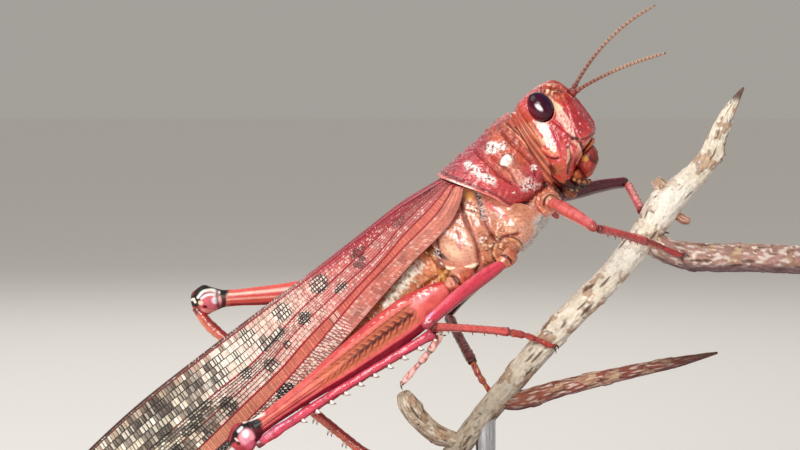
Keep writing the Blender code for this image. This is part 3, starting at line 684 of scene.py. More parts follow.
speck = grain(head_grid, 0.28, 3)
coat = wash(x.shape, ROSE)
paint(coat, (
    (ramp(11.6, 10.4, x) * ramp(1.6, 3.0, z), ORANGE, 0.85),
    (spot(x, z, (15.0, 5.1), (0.9, 0.8)) * side_on, ORANGE, 0.6),
))
keel_x, keel_z = np.array(FACE_KEEL[::-1]).T
in_front = ramp(-0.15, 0.15, x - np.interp(z, keel_z, keel_x))
paint(coat, (
    (in_front * ramp(0.2, 0.6, z) * ramp(5.0, 4.2, z), RED, 0.9),
    (ramp(15.3, 15.9, x) * ramp(4.9, 4.0, z) * costa_edge, MAGENTA, 0.7),
    (ramp(6.0, 6.8, z), RED, 0.5),
    (spot(x, z, (12.85, 1.7), (0.5, 1.6), 5) * side_on, (200, 60, 76), 0.9),
    (stroke(((12.95, 3.2), (13.15, 2.2), (13.1, 1.2)), x, z, 0.16) * side_on, (208, 46, 60), 0.9),
    (ramp(0.6, -0.6, z) * ramp(12.4, 11.2, x), (212, 92, 64), 0.8),
))
cream_width = profile((0, 0.2), (0.2, 0.2), (0.45, 0.42), (0.75, 0.42), (1, 0.2))
cream = stroke(CREAM_STRIPE, x, z, cream_width, 0.35) * side_on
paint(coat, (
    (cream, CREAM),
    (cream * ramp(4.4, 3.0, z), (250, 206, 198), 0.8),
    (cream * ramp(0.1, 0.8, speck) * ramp(3.8, 2.8, z), (214, 104, 112), 0.7),
    (stroke(((14.45, 3.6), (14.4, 2.6), (14.15, 1.5), (13.85, 0.8)), x, z, 0.1) * side_on, (184, 40, 84),
     0.85),
))
# The cheek bar: a pale pink band, and over it a painted white highlight broken by dark cracks.
white_width = profile((0, 0.42), (0.25, 0.5), (0.45, 0.34), (0.7, 0.42), (1, 0.16))
ragged = 0.22 * grain(head_grid, 0.5, 61)
cheek_glare = ramp(0.35, 0.6, stroke(CHEEK_GLARE_ROUTE, x, z, white_width, 0.6) + ragged) * side_on
paint(coat, (
    (ramp(0.1, 0.5, stroke(CHEEK_GLARE_ROUTE, x, z, white_width, 0.9) + ragged) * side_on, (240, 150, 160), 0.8),
    (cheek_glare, WHITE, 0.97),
))
cracks = bell(grain(head_grid, 1.1, 62), 0, 0.09) * cheek_glare * ramp(3.0, 2.0, z)
paint(coat, (
    (cracks, (150, 50, 100), 0.7),
    (stroke(((10.9, 4.4), (10.85, 3.2), (10.9, 2.2)), x, z, 0.25, 0.8) * side_on, CREAM, 0.75),
    (spot(x, z, (11.15, 1.1), (0.5, 0.5), 0, 0.6) * side_on * ramp(-0.2, 0.5, speck), CREAM, 0.8),
    (cheek_edge * ramp(3.0, 2.0, z), MAGENTA, 0.8),
    (stroke(((10.5, 3.2), (10.45, 2.2), (10.8, 1.1), (11.3, 0.5)), x, z, 0.09) * side_on, (236, 168, 130),
     0.9),
    (stroke(HEAD_RIM, x + 0.22, z, 0.12) * side_on, DARK, 0.75),
    (spot(x, z, (10.5, 5.0), (0.9, 1.6), 0, 0.8) * side_on, (186, 88, 54), 0.5),
    (spot(x, z, (10.2, -0.6), (0.75, 0.55), -20) * side_on, (176, 98, 48), 0.85),
    (spot(x, z, (9.6, 0.4), (0.5, 1.3), 10) * side_on, DARK, 0.8),
    (spot(x, z, (12.75, -0.45), (0.3, 0.75), 25) * side_on, (234, 150, 138), 0.9),
    (stroke(((12.8, 0.5), (12.7, -0.4), (12.0, -1.2)), x, z, 0.09) * side_on, (190, 50, 60), 0.9),
    (jaw_rim, (250, 206, 182), 0.95),
    (jaw_back, DARK, 0.8),
    (stroke(((12.35, 0.2), (11.85, -0.5), (11.5, -0.8)), x, z, 0.12) * side_on, CREAM, 0.8),
    (jaw_suture, DARK),
    (ramp(-0.15, -0.4, z) * ramp(13.75, 14.0, x), (224, 138, 96), 0.9),
    (face_seam, (116, 40, 34), 0.9),
    (eye_furrow * ramp(1.8, 1.0, z), DARK, 0.8),
    (socket_rim * ramp(5.4, 4.0, z), (236, 180, 150), 0.5),
    # Painted shade: near black in the hollow round the eye and in the feeler sockets.
    (1 - ramp(1.0, 1.1, eye_gap), DARK, 0.95),
    (feeler_socket, DARK, 0.95),
    (feeler_rim * ramp(4.6, 4.2, z), CREAM, 0.8),
    # A painted highlight on the brow.
    (spot(x, z, (15.35, 5.95), (0.5, 0.14), -42, 0.5) * side_on, WHITE, 0.75),
    (costa_edge * front_on * ramp(0.9, 1.6, z), (172, 40, 60), 0.4),
    (ramp(0.7, 1.3, speck) * front_on, (130, 26, 48), 0.6),
    (ramp(0.9, 1.5, speck), (150, 40, 50), 0.35),
))
# Painted highlights: pale glare on the brow, the jaw and the top of the head.
glare = ramp(0.3, 0.9, grain(head_grid, 0.45, 63))
paint(coat, (
    (spot(x, z, (14.35, 5.3), (0.7, 0.45), -30, 0.6) * side_on * glare, (255, 226, 214), 0.8),
    (spot(x, z, (13.2, -0.2), (0.9, 1.1), 20, 0.7) * side_on * glare, (250, 196, 180), 0.6),
    (bell(grain(head_grid, 0.9, 64), 0, 0.07) * ramp(1.0, 0.2, z) * side_on, DARK, 0.55),
    (ramp(6.2, 6.8, z) * glare, (246, 190, 186), 0.4),
))
# The crown: orange brown, with painted white glints and dark flecks.
crown = spot(x, z, (14.5, 5.95), (1.1, 0.75), -35, 0.6) * ramp(0.3, 0.8, flank)
paint(coat, (
    (crown, (190, 96, 62), 0.75),
    (crown * ramp(0.3, 0.8, grain(head_grid, 0.5, 67)), (255, 228, 200), 0.7),
    (crown * ramp(0.5, 0.9, -grain(head_grid, 0.55, 68)), (104, 30, 30), 0.7),
))
for route in (((15.4, 4.95), (14.9, 5.6), (14.1, 6.2)), ((14.2, 6.35), (13.7, 5.7), (13.75, 5.2))):
    lay(coat, stroke(route, x, z, 0.07, 0.6) * side_on, (112, 34, 34), 0.75)
lay(coat, ramp(-0.2, 0.8, grain(head_grid, 1.0, 69)) * ramp(11.0, 14.0, x) * (1 - cheek_glare)
    * (1 - cream), (172, 52, 66), 0.4)
head_gloss = 0.55 + 0.4 * np.maximum(cheek_glare, cream) - 0.2 * ramp(11.4, 10.4, x)
make_shell("head_capsule", head_shaped, coat, head_gloss, face_cuticle, ("head",),
           domes=(0.25, 0.06))
print("head capsule of", head_shaped.shape[0] * head_shaped.shape[1], "points")

# %% [markdown]
# ## Feelers and simple eyes
#
# Each feeler is a chain of about two dozen short beads on two larger ones. A plain tapered wire would miss
# the beads, and one object per bead would be slow, so a tube swells and narrows along its length and its
# colour is banded to match. Between the large eyes sit three simple ones, small glossy drops.

# %% Feelers
FEELER_ROOT = np.array((15.85, 0.95, 4.3))
FEELERS = {
    # side: (tip, bow at the middle)
    "right": ((25.35, -8.4, 1.8), (0.1, 0.3, 0.4)),
    "left": ((28.0, 5.2, 6.1), (0.0, 0.3, 1.0)),
}
FEELER_BEADS = 26


def bowed(start, end, bow, count=9):
    """Points from start to end, bowed sideways by the vector bow at the middle."""
    t = np.linspace(0, 1, count)[:, None]
    start, end, bow = (np.array(point, float) for point in (start, end, bow))
    return start + (end - start) * t + bow * 4 * t * (1 - t)


for word, side in SIDES.items():
    tip, bow = FEELERS[word]
    route = bowed(FEELER_ROOT * (1, side, 1), tip, bow)
    half = profile((0, 0.34), (0.035, 0.38), (0.06, 0.27), (0.085, 0.29), (0.11, 0.2), (0.2, 0.17),
                   (0.9, 0.15), (1, 0.09))
    grid, share, up, aside = tube(route, 260, half, half, columns=18)
    bead = share * FEELER_BEADS % 1
    joint = bell(bead, 0.5, 0.14) * ramp(0.1, 0.14, share)
    grid = raised(grid, 0.03 * np.sin(bead * math.pi) ** 2 * ramp(0.1, 0.14, share))
    coat = wash(share.shape, (190, 158, 140))
    paint(coat, (
        (ramp(0.6, 0.2, share), (152, 100, 90), 0.9),
        (ramp(0.7, 0.95, np.abs(2 * bead - 1)), (84, 46, 44), 0.85),
        (ramp(0.1, 0.05, share), (150, 52, 48), 0.9),
        (joint * ramp(0.6, 0.2, share), (226, 170, 130), 0.3),
    ))
    make_shell("antenna_" + word + "_beads", grid, coat, 0.5, feeler_cuticle, ("antenna_" + word,),
               domes=(0.05, 0.1))

ocelli = []
for at, radius in (((14.3, 1.75, 5.85), 0.27), ((14.3, -1.75, 5.85), 0.27), ((16.02, 0.0, 3.3), 0.16)):
    grid, unit = oval(at, (radius, radius, radius * 1.15), rows=14, columns=20)
    ocelli.append(as_part(grid, shade(252, 226, 186), 1.0, (0.01, 0.01)))
make_cluster("simple_eyes", ocelli, mouth_cuticle)
print("two feelers and", len(ocelli), "simple eyes")

# %% [markdown]
# ## Mouthparts
#
# A locust chews from side to side. An upper lip hangs in front of two hard jaws, a lower lip closes them
# from behind, and jointed palps hang beside them and feel the food. One lump under the face could stand
# for all of it, but the gaps between the parts are what makes it a mouth. So each part stays a piece of
# its own, and a palp is made as a feeler is, with fewer and longer joints.

# %% Mouthparts
# The upper lip hangs from the face plate: a hinge strip, then the lip itself, notched in the middle.
LIP_COLUMNS = 120
lip_levels = profile((-3.2, 12.8), (-2.6, 13.95), (-1.9, 14.4), (-1.3, 14.5), (-0.75, 14.95), (-0.4, 15.2))
lip_half = profile((-3.2, 0.95), (-2.6, 1.6), (-1.9, 1.72), (-1.3, 1.65), (-0.75, 1.6), (-0.4, 1.6))
z_rows = np.linspace(-3.2, -0.55, 70)
turn = turns(LIP_COLUMNS)
lip_back = np.maximum(HEAD_FRONT(z_rows), 11.75) + 0.02
half_deep = (lip_levels(z_rows) - lip_back) / 2
lip = np.stack(((lip_back + half_deep)[:, None] + half_deep[:, None] * squared(np.sin(turn), 2.6),
                lip_half(z_rows)[:, None] * squared(np.cos(turn), 2.6),
                np.repeat(z_rows[:, None], LIP_COLUMNS, 1)), -1)
x, y, z = np.moveaxis(lip, -1, 0)
front = ramp(13.0, 13.9, x)
seam = bell(z, -1.08, 0.07)
lip = raised(lip, -0.13 * seam + 0.1 * bell(z, -1.6, 0.3) - 0.1 * bell(y, 0, 0.16)
             * ramp(-1.6, -2.2, z) * front + 0.012 * grain(lip, 0.4, 5))
coat = wash(x.shape, (168, 66, 58))
paint(coat, (
    (ramp(-1.15, -1.0, z), (220, 134, 96), 0.95),
    (ramp(0.2, 0.8, grain(lip, 0.5, 65)), (206, 106, 84), 0.6),
    (spot(x, z, (13.15, -1.5), (0.35, 0.4)), (228, 176, 92), 0.85),
    (ramp(-1.3, -2.4, z) * ramp(13.2, 13.9, x), (134, 46, 48), 0.85),
    (spot(x, z, (13.55, -2.0), (0.18, 0.7), 10), (84, 20, 30), 0.7),
    (ramp(-2.6, -3.1, z), (190, 96, 70), 0.7),
    (seam, (60, 20, 22), 0.95),
))
make_shell("upper_lip", lip, coat, 0.8, mouth_cuticle, ("labrum",), domes=(0.12, 0.1))

for word, side in SIDES.items():
    route = ((11.25, side * 1.25, -1.9), (11.25, side * 1.2, -2.5), (11.3, side * 1.1, -3.1),
             (11.4, side * 0.9, -3.6))
    grid, share, up, aside = tube(route, 30, profile((0, 0.9), (0.6, 0.75), (1, 0.4)),
                                  profile((0, 0.75), (0.6, 0.7), (1, 0.35)), upward=(1, 0, 0), columns=36)
    coat = wash(share.shape, (120, 42, 32))
    paint(coat, (
        (ramp(0.55, 0.9, share), (34, 12, 14)),
        (spot(share, up, (0.2, 0.3), (0.25, 0.4)), (206, 120, 60), 0.7),
    ))
    grid = raised(grid, 0.04 * grain(grid, 0.5, 7) + 0.08 * np.cos(share * 20) * ramp(0.6, 1, share))
    make_shell("mandible_" + word + "_tooth", grid, coat, 0.9, mouth_cuticle, ("mandible_" + word,))

LOWER_LIP = profile((-3.85, 9.95), (-3.1, 9.8), (-2.3, 9.75))
z_rows = np.linspace(-3.8, -2.2, 40)
half_wide = profile((-3.8, 1.1), (-3.1, 1.6), (-2.3, 1.85))(z_rows)
half_deep = profile((-3.8, 0.42), (-3.1, 0.52), (-2.3, 0.55))(z_rows)
chin = np.stack((LOWER_LIP(z_rows)[:, None] + half_deep[:, None] * squared(np.sin(turn), 2.6),
                 half_wide[:, None] * squared(np.cos(turn), 2.6),
                 np.repeat(z_rows[:, None], LIP_COLUMNS, 1)), -1)
x, y, z = np.moveaxis(chin, -1, 0)
chin = raised(chin, -0.2 * bell(y, 0, 0.12) + 0.07 * bell(np.abs(y), 0.8, 0.3))
coat = wash(x.shape, (96, 32, 30))
paint(coat, (
    (ramp(0.3, 0.9, np.abs(y)) * ramp(-2.6, -3.2, z), (170, 96, 62), 0.8),
    (bell(y, 0, 0.14), (36, 12, 14), 0.9),
))
make_shell("lower_lip", chin, coat, 0.6, mouth_cuticle, ("labium",), domes=(0.15, 0.1))


def jointed(route, radii, joints, pale, dark, columns=18, rows=120):
    """A small limb of a few rounded joints: pale in the middle of each and dark where they meet."""
    grid, share, up, aside = tube(route, rows, radii, radii, upward=(0.4, 0, 1), columns=columns)
    place = share * joints % 1
    swell = np.sin(place * math.pi)
    grid = raised(grid, 0.06 * swell - 0.05)
    coat = wash(share.shape, pale)
    paint(coat, (
        (ramp(0.45, 0.8, np.abs(2 * place - 1)), dark, 0.95),
        # Painted shade: the underside of each palp is darker.
        (ramp(0.0, -0.8, up), dark, 0.6),
    ))
    return grid, coat


palp_parts = {}
for word, side in SIDES.items():
    root = np.array((10.9, side * 2.25, -2.3))
    route = root + np.array(((0, 0, 0), (0.3, side * 0.1, -0.6), (0.75, 0, -1.1),
                             (1.25, -side * 0.3, -1.35)))
    grid, coat = jointed(route, profile((0, 0.2), (0.4, 0.24), (0.8, 0.2), (1, 0.12)), 4,
                         shade(206, 152, 108), shade(40, 14, 16))
    lay(coat, 0.5 + 0 * coat[..., 0], shade(120, 60, 44), 0.8)
    make_shell("palp_" + word + "_joints", grid, coat, 0.7, mouth_cuticle, ("palp_" + word,))
    route = ((9.95, side * 1.6, -2.4), (10.05, side * 1.75, -2.9), (10.35, side * 1.7, -3.3),
             (10.6, side * 1.4, -3.6))
    palp_parts[word] = as_part(*jointed(route, profile((0, 0.2), (0.5, 0.25), (1, 0.15)), 3,
                                        shade(206, 160, 112), shade(28, 12, 12)), 0.7)
jaw_side_parts = []
for side in SIDES.values():
    route = ((9.75, side * 2.3, -0.8), (9.95, side * 2.35, -1.6), (10.2, side * 2.2, -2.4),
             (10.6, side * 1.9, -3.1))
    grid, share, up, aside = tube(route, 40, profile((0, 0.4), (0.5, 0.5), (1, 0.3)), 0.35, (1, 0, 0), 28)
    coat = wash(share.shape, (78, 28, 26))
    paint(coat, (
        (spot(share, up, (0.35, 0.1), (0.18, 0.6)), (196, 112, 66), 0.8),
        (ramp(0.8, 1.0, share), (26, 10, 12), 0.9),
    ))
    jaw_side_parts.append(as_part(grid, coat, 0.8))
make_cluster("inner_mouthparts", [*palp_parts.values(), *jaw_side_parts], mouth_cuticle)
print("mouthparts done")

# %% [markdown]
# ## The saddle shield
#
# The pronotum is a saddle of hard cuticle over the front of the chest: a low keel on top, three grooves
# across, a smooth front part and a pitted back part, and a rounded pale rim. A cloth or a boolean would
# not give its creases. The grid is bent from the front edge to the slanting hind edge, and grooves, folds
# behind the collar and glossy flats are laid on it as strokes and spots in side view. The folds carry
# painted light on their ridges and painted shade between them, and the glossy flats carry painted white
# highlights.

# %% Saddle shield
CREST_FRONT, CREST_REAR, LOBE_BOTTOM = 6.75, 6.1, -1.55
shield_edge = profile((6.1, 0.55), (2.75, 2.75), (0.9, 3.8), (-0.4, 4.25), (-1.17, 4.7), (-1.6, 5.2),
                      (-3.0, 6.6))
SHIELD_HALF = profile((0, 4.45), (0.3, 4.2), (0.62, 3.65), (0.85, 3.6), (1, 3.5))
SHIELD_CREST = profile((0, CREST_REAR), (0.3, 6.3), (0.6, 6.45), (0.85, CREST_FRONT), (1, 6.6))
SHIELD_LOBE = profile((0, -1.25), (0.3, LOBE_BOTTOM), (0.75, LOBE_BOTTOM + 0.1), (1, -0.95))
SHIELD_MIDDLE = 2.0


def collar_edge(z):
    """Where the shield begins in front, at a height."""
    return 9.95 - 0.15 * (CREST_FRONT - z)


def saddle(half, crest, lobe, middle, rear, front, power, share, columns, tuck, tuck_top=0.0):
    """A ring section for each share from rear to front, bent to the two edges."""
    turn = turns(columns)
    aside, up = squared(np.cos(turn), power), squared(np.sin(turn), power)
    z = middle + np.where(up > 0, (crest - middle)[:, None], (middle - lobe)[:, None]) * up
    lower = np.clip((middle - z) / (middle - lobe)[:, None], 0, 1)
    upper = np.clip((z - middle) / (crest - middle)[:, None], 0, 1)
    y = half[:, None] * aside * (1 - tuck * lower ** 2) * (1 - tuck_top * upper)
    x = rear(z) + (front(z) - rear(z)) * share[:, None]
    return np.stack((x, y, z), -1)


SHIELD_ROWS, SHIELD_COLUMNS = 130, 320
share = np.linspace(0, 1, SHIELD_ROWS)
shield = saddle(SHIELD_HALF(share), SHIELD_CREST(share), SHIELD_LOBE(share), SHIELD_MIDDLE, shield_edge,
                collar_edge, 2.7, share, SHIELD_COLUMNS, 0.1)
x, y, z = np.moveaxis(shield, -1, 0)
along = np.repeat(share[:, None], SHIELD_COLUMNS, 1)
flank = np.abs(y)
outer = ramp(1.0, 2.2, flank)
GROOVES = (((5.0, 6.4), (5.15, 5.2), (5.45, 3.6), (5.6, 2.2), (6.0, 1.0)),
           ((6.35, 6.6), (6.2, 5.4), (6.15, 4.2), (6.3, 3.0), (6.6, 2.0), (6.4, 0.9)),
           ((8.5, 6.7), (8.3, 5.6), (8.35, 4.2), (8.6, 2.6), (8.7, 1.2), (8.3, 0.2)))
FOLDS = (((9.0, 6.0), (9.2, 4.9), (9.35, 3.9), (9.4, 2.8)),
         ((9.45, 5.2), (9.55, 4.2), (9.65, 3.0), (9.7, 1.9)))
grooves = sum(stroke(route, x, z, 0.12, 0.8) for route in GROOVES)
fold_lines = sum(stroke(route, x, z, 0.1, 0.7) for route in FOLDS) * outer
fold_valleys = sum(stroke(route, x - 0.2, z, 0.09, 0.7) for route in FOLDS) * outer
keel = bell(y, 0, 0.16) * ramp(4.5, 5.5, z)
rear_rim = ramp(0.05, 0.015, along)
lower_edge = np.interp(x, (3.8, 4.6, 5.4, 6.6, 8.0, 9.2), (-0.3, -1.2, -1.55, -1.55, -1.4, -0.95))
lower_rim = bell(z - lower_edge, 0.12, 0.12) * outer
front_rim = ramp(0.955, 0.985, along)
hind_part = ramp(5.6, 5.0, x)
pits = grain(shield, 0.34, 21) * 0.02 + grain(shield, 0.7, 22) * 0.02
level_top = 1 - 0.8 * ramp(5.3, 6.1, z)
shield_height = (-0.16 * grooves * level_top + 0.12 * fold_lines - 0.1 * fold_valleys + 0.16 * keel
                 + 0.08 * rear_rim + 0.09 * lower_rim + 0.06 * front_rim + pits
                 + 0.12 * spot(x, z, (7.3, 2.6), (0.9, 1.3), 0, 0.7) * outer
                 + 0.1 * spot(x, z, (6.9, 4.9), (0.8, 0.8), 0, 0.7) * outer
                 + 0.1 * spot(x, z, (7.0, -0.1), (1.0, 0.8), 0, 0.7) * outer
                 + 0.08 * spot(x, z, (4.3, 1.2), (0.8, 1.6), 0, 0.8) * outer)
shield_shaped = raised(shield, shield_height)
speck = grain(shield, 0.3, 23)
glint = ramp(-0.9, -0.35, grain(shield, 0.42, 24))
coat = wash(x.shape, (204, 84, 96))
paint(coat, (
    (ramp(4.6, 6.2, z), (178, 38, 76), 0.85),
    (ramp(0.5, -1.2, z), (200, 92, 98), 0.7),
    (ramp(6.4, 7.4, x) * ramp(0.9, 2.2, z), (200, 104, 76), 0.9),
    (ramp(-0.3, 0.9, grain(shield, 1.3, 30)), (172, 52, 66), 0.45),
    (ramp(3.6, 2.4, z) * ramp(6.6, 5.4, x), (208, 82, 88), 0.8),
    (spot(x, z, (8.0, 5.7), (1.2, 0.8)), (206, 112, 74), 0.7),
    (stroke(((6.3, 3.1), (6.5, 1.9), (6.7, 0.8)), x, z, 0.45, 0.6) * outer, (244, 186, 170), 0.75),
    (grooves, (140, 34, 46), 0.75),
    # Painted light and shade: the fold ridges behind the collar are pale and the valleys between them dark.
    (fold_lines, (246, 196, 158), 0.75),
    (fold_valleys, (110, 34, 30), 0.8),
))
# The glossy flats of the shield, which also carry the painted white highlights below.
glare_flats = np.maximum.reduce([
    spot(x, z, (6.65, 4.95), (0.85, 0.6), -25, 0.3), spot(x, z, (7.5, 4.5), (0.5, 0.45), -25, 0.3),
    spot(x, z, (6.95, 3.1), (0.55, 0.42), -20, 0.25), spot(x, z, (7.1, 0.0), (0.75, 0.6), 0, 0.5),
    spot(x, z, (8.6, 0.85), (0.34, 0.36)), spot(x, z, (5.55, 0.2), (0.16, 0.16)),
    spot(x, z, (7.7, -0.75), (0.5, 0.3)),
    stroke(((3.7, 5.1), (4.1, 3.9), (4.6, 2.4)), x, z, 0.42, 0.5)]) * outer
lay(coat, spot(x, z, (7.0, 3.4), (1.9, 1.9), 0, 0.8) * outer, (206, 106, 70), 0.6)
glare_along, glare_up = (x - 6.97 + 0.4 * (z - 3.1)) / 0.72, (z - 3.1 - 0.2 * (x - 6.97)) / 0.5
glare_patch = (np.abs(glare_along) ** 3 + np.abs(glare_up) ** 3) ** (1 / 3) + 0.08 * grain(shield, 0.7, 26)
# Painted highlights: white glare on the glossy flats, flecked dark, and a large white glare patch with a dark
# rim round it.
paint(coat, (
    (glare_flats * glint, WHITE, 0.97),
    (glare_flats * ramp(0.8, 1.1, -grain(shield, 0.26, 27)), (90, 24, 40), 0.8),
    (bell(glare_patch, 1.06, 0.1) * outer, (84, 20, 60), 0.7),
    (ramp(1.0, 0.85, glare_patch) * outer, WHITE, 0.97),
    (stroke(((7.1, 2.5), (7.1, 1.6), (7.05, 0.6)), x, z, 0.42, 0.7) * outer * ramp(-1.0, 0.2, speck),
     (250, 208, 192), 0.75),
    (ramp(0.3, 0.9, grain(shield, 0.9, 28)) * ramp(6.6, 7.4, x), (158, 74, 56), 0.6),
    (bell(grain(shield, 1.0, 29), 0, 0.06) * ramp(6.4, 7.2, x) * outer, (120, 40, 40), 0.5),
    (rear_rim, (244, 160, 150), 0.9),
    (rear_rim * ramp(5.4, 4.9, z) * ramp(2.6, 3.2, z), WHITE, 0.8),
    (ramp(0.045, 0.06, along) * ramp(0.1, 0.075, along), (110, 20, 44), 0.75),
    (lower_rim * ramp(5.0, 6.0, x), (248, 200, 176), 0.7),
    (bell(z - lower_edge, 0.4, 0.08) * outer, (140, 36, 44), 0.5),
    (keel, (214, 108, 108), 0.5),
    (ramp(0.9, 1.5, speck), (150, 40, 50), 0.5),
    (ramp(0.8, 1.4, grain(shield, 0.5, 25)) * hind_part, (236, 150, 140), 0.5),
))
make_shell("saddle_shield", shield_shaped, coat, 0.45 + 0.5 * glare_flats, shield_cuticle, ("pronotum",),
           domes=(0.02, 0.02))
print("saddle shield of", x.size, "points")

# %% [markdown]
# ## The chest
#
# Below the shield the chest is a box of swollen plates with deep seams between them, the part that holds
# the wing muscles. Its plates are softer and paler than the shield. They are swelled as ovals and parted
# by seam strokes, so that light rolls over each plate and goes dark in the seams. A small peg between the
# fore legs and the breathing hole behind the shield are marks of this family of grasshoppers.

# %% Chest
WAIST_X, STERNUM_Z = -4.6, -4.95
CHEST_ROWS, CHEST_COLUMNS = 190, 340
CHEST_HALF = profile((0, 3.5), (0.3, 4.0), (0.7, 3.9), (1, 3.4))
CHEST_TOP = profile((0, 4.7), (0.5, 5.0), (1, 5.2))
CHEST_BOTTOM = profile((0, -4.6), (0.3, STERNUM_Z), (0.7, STERNUM_Z), (1, -4.0))
chest_front = profile((5.2, 1.0), (2.75, 2.8), (0.9, 4.1), (-0.8, 5.1), (-1.75, 5.9), (-3.05, 6.35),
                      (STERNUM_Z, 5.9))
share = np.linspace(0, 1, CHEST_ROWS)
chest = saddle(CHEST_HALF(share), CHEST_TOP(share), CHEST_BOTTOM(share), -0.6,
               lambda z: WAIST_X + 0.12 * (z + 4.6), chest_front, 2.8, share, CHEST_COLUMNS, 0.0, 0.2)
chest[..., 1] *= 1 - 0.16 * ramp(1.6, 3.2, chest[..., 0]) * ramp(-2.6, -0.8, chest[..., 2])
x, y, z = np.moveaxis(chest, -1, 0)
outer = ramp(1.4, 2.6, np.abs(y))
SEAMS = (((3.0, 3.4), (2.55, 1.8), (2.0, 0.5), (1.45, -0.9), (1.3, -2.2)),
         ((1.6, 4.4), (0.7, 2.4), (0.15, 0.9), (-0.15, -0.6), (-0.6, -1.9), (-1.2, -2.9)),
         ((-2.0, 3.0), (-2.9, 1.8), (-3.6, 0.6), (-4.2, -0.4)),
         ((3.4, -3.2), (2.8, -2.9), (2.1, -2.6), (1.4, -2.7)),
         ((-1.3, -3.1), (-2.3, -3.6), (-3.4, -3.5), (-4.4, -3.0)))
seams = np.clip(sum(stroke(route, x, z, 0.17, 0.9) for route in SEAMS), 0, 1) * outer
seam_core = np.clip(sum(stroke(route, x, z, 0.06, 0.7) for route in SEAMS), 0, 1) * outer
coxa_gap = np.hypot((x - 1.5) / 1.3, (z + 3.8) / 1.15)
coxa_ring = bell(coxa_gap, 1, 0.12) * outer * ramp(-5.4, -4.6, z)
fore_plate = spot(x, z, (3.8, -2.1), (1.7, 1.9), 12, 0.9) * outer
hind_plate = spot(x, z, (-1.75, -0.6), (1.5, 2.3), 22, 0.9) * outer
mid_plate = spot(x, z, (0.75, 0.2), (0.6, 1.7), 18, 0.8) * outer
rear_plate = spot(x, z, (-3.7, -0.6), (0.5, 1.6), 22, 0.8) * outer
spiracle = stroke(((2.8, 2.6), (2.3, 1.3), (1.7, 0.1)), x, z, 0.26, 0.6) * outer
crumpled = spot(x, z, (0.9, -2.9), (2.2, 1.5), 12, 0.6) * outer
crease = bell(grain(chest, 1.0, 36), 0, 0.16)
pale_ridge = stroke(((-5.0, -0.7), (-4.2, -1.6), (-3.1, -2.5), (-1.6, -3.1)), x, z, 0.17, 0.5) * outer
chest_height = (-0.26 * seams + 0.42 * fore_plate + 0.48 * hind_plate + 0.16 * mid_plate + 0.2 * rear_plate
                + 0.14 * coxa_ring - 0.12 * spiracle + 0.2 * pale_ridge
                + crumpled * (0.12 * grain(chest, 0.9, 37) - 0.1 * crease) + 0.02 * grain(chest, 0.9, 32))
chest_shaped = raised(chest, chest_height)
speck = grain(chest, 0.3, 33)
glint = ramp(-0.1, 0.5, grain(chest, 0.42, 34))
coat = wash(x.shape, (218, 156, 136))
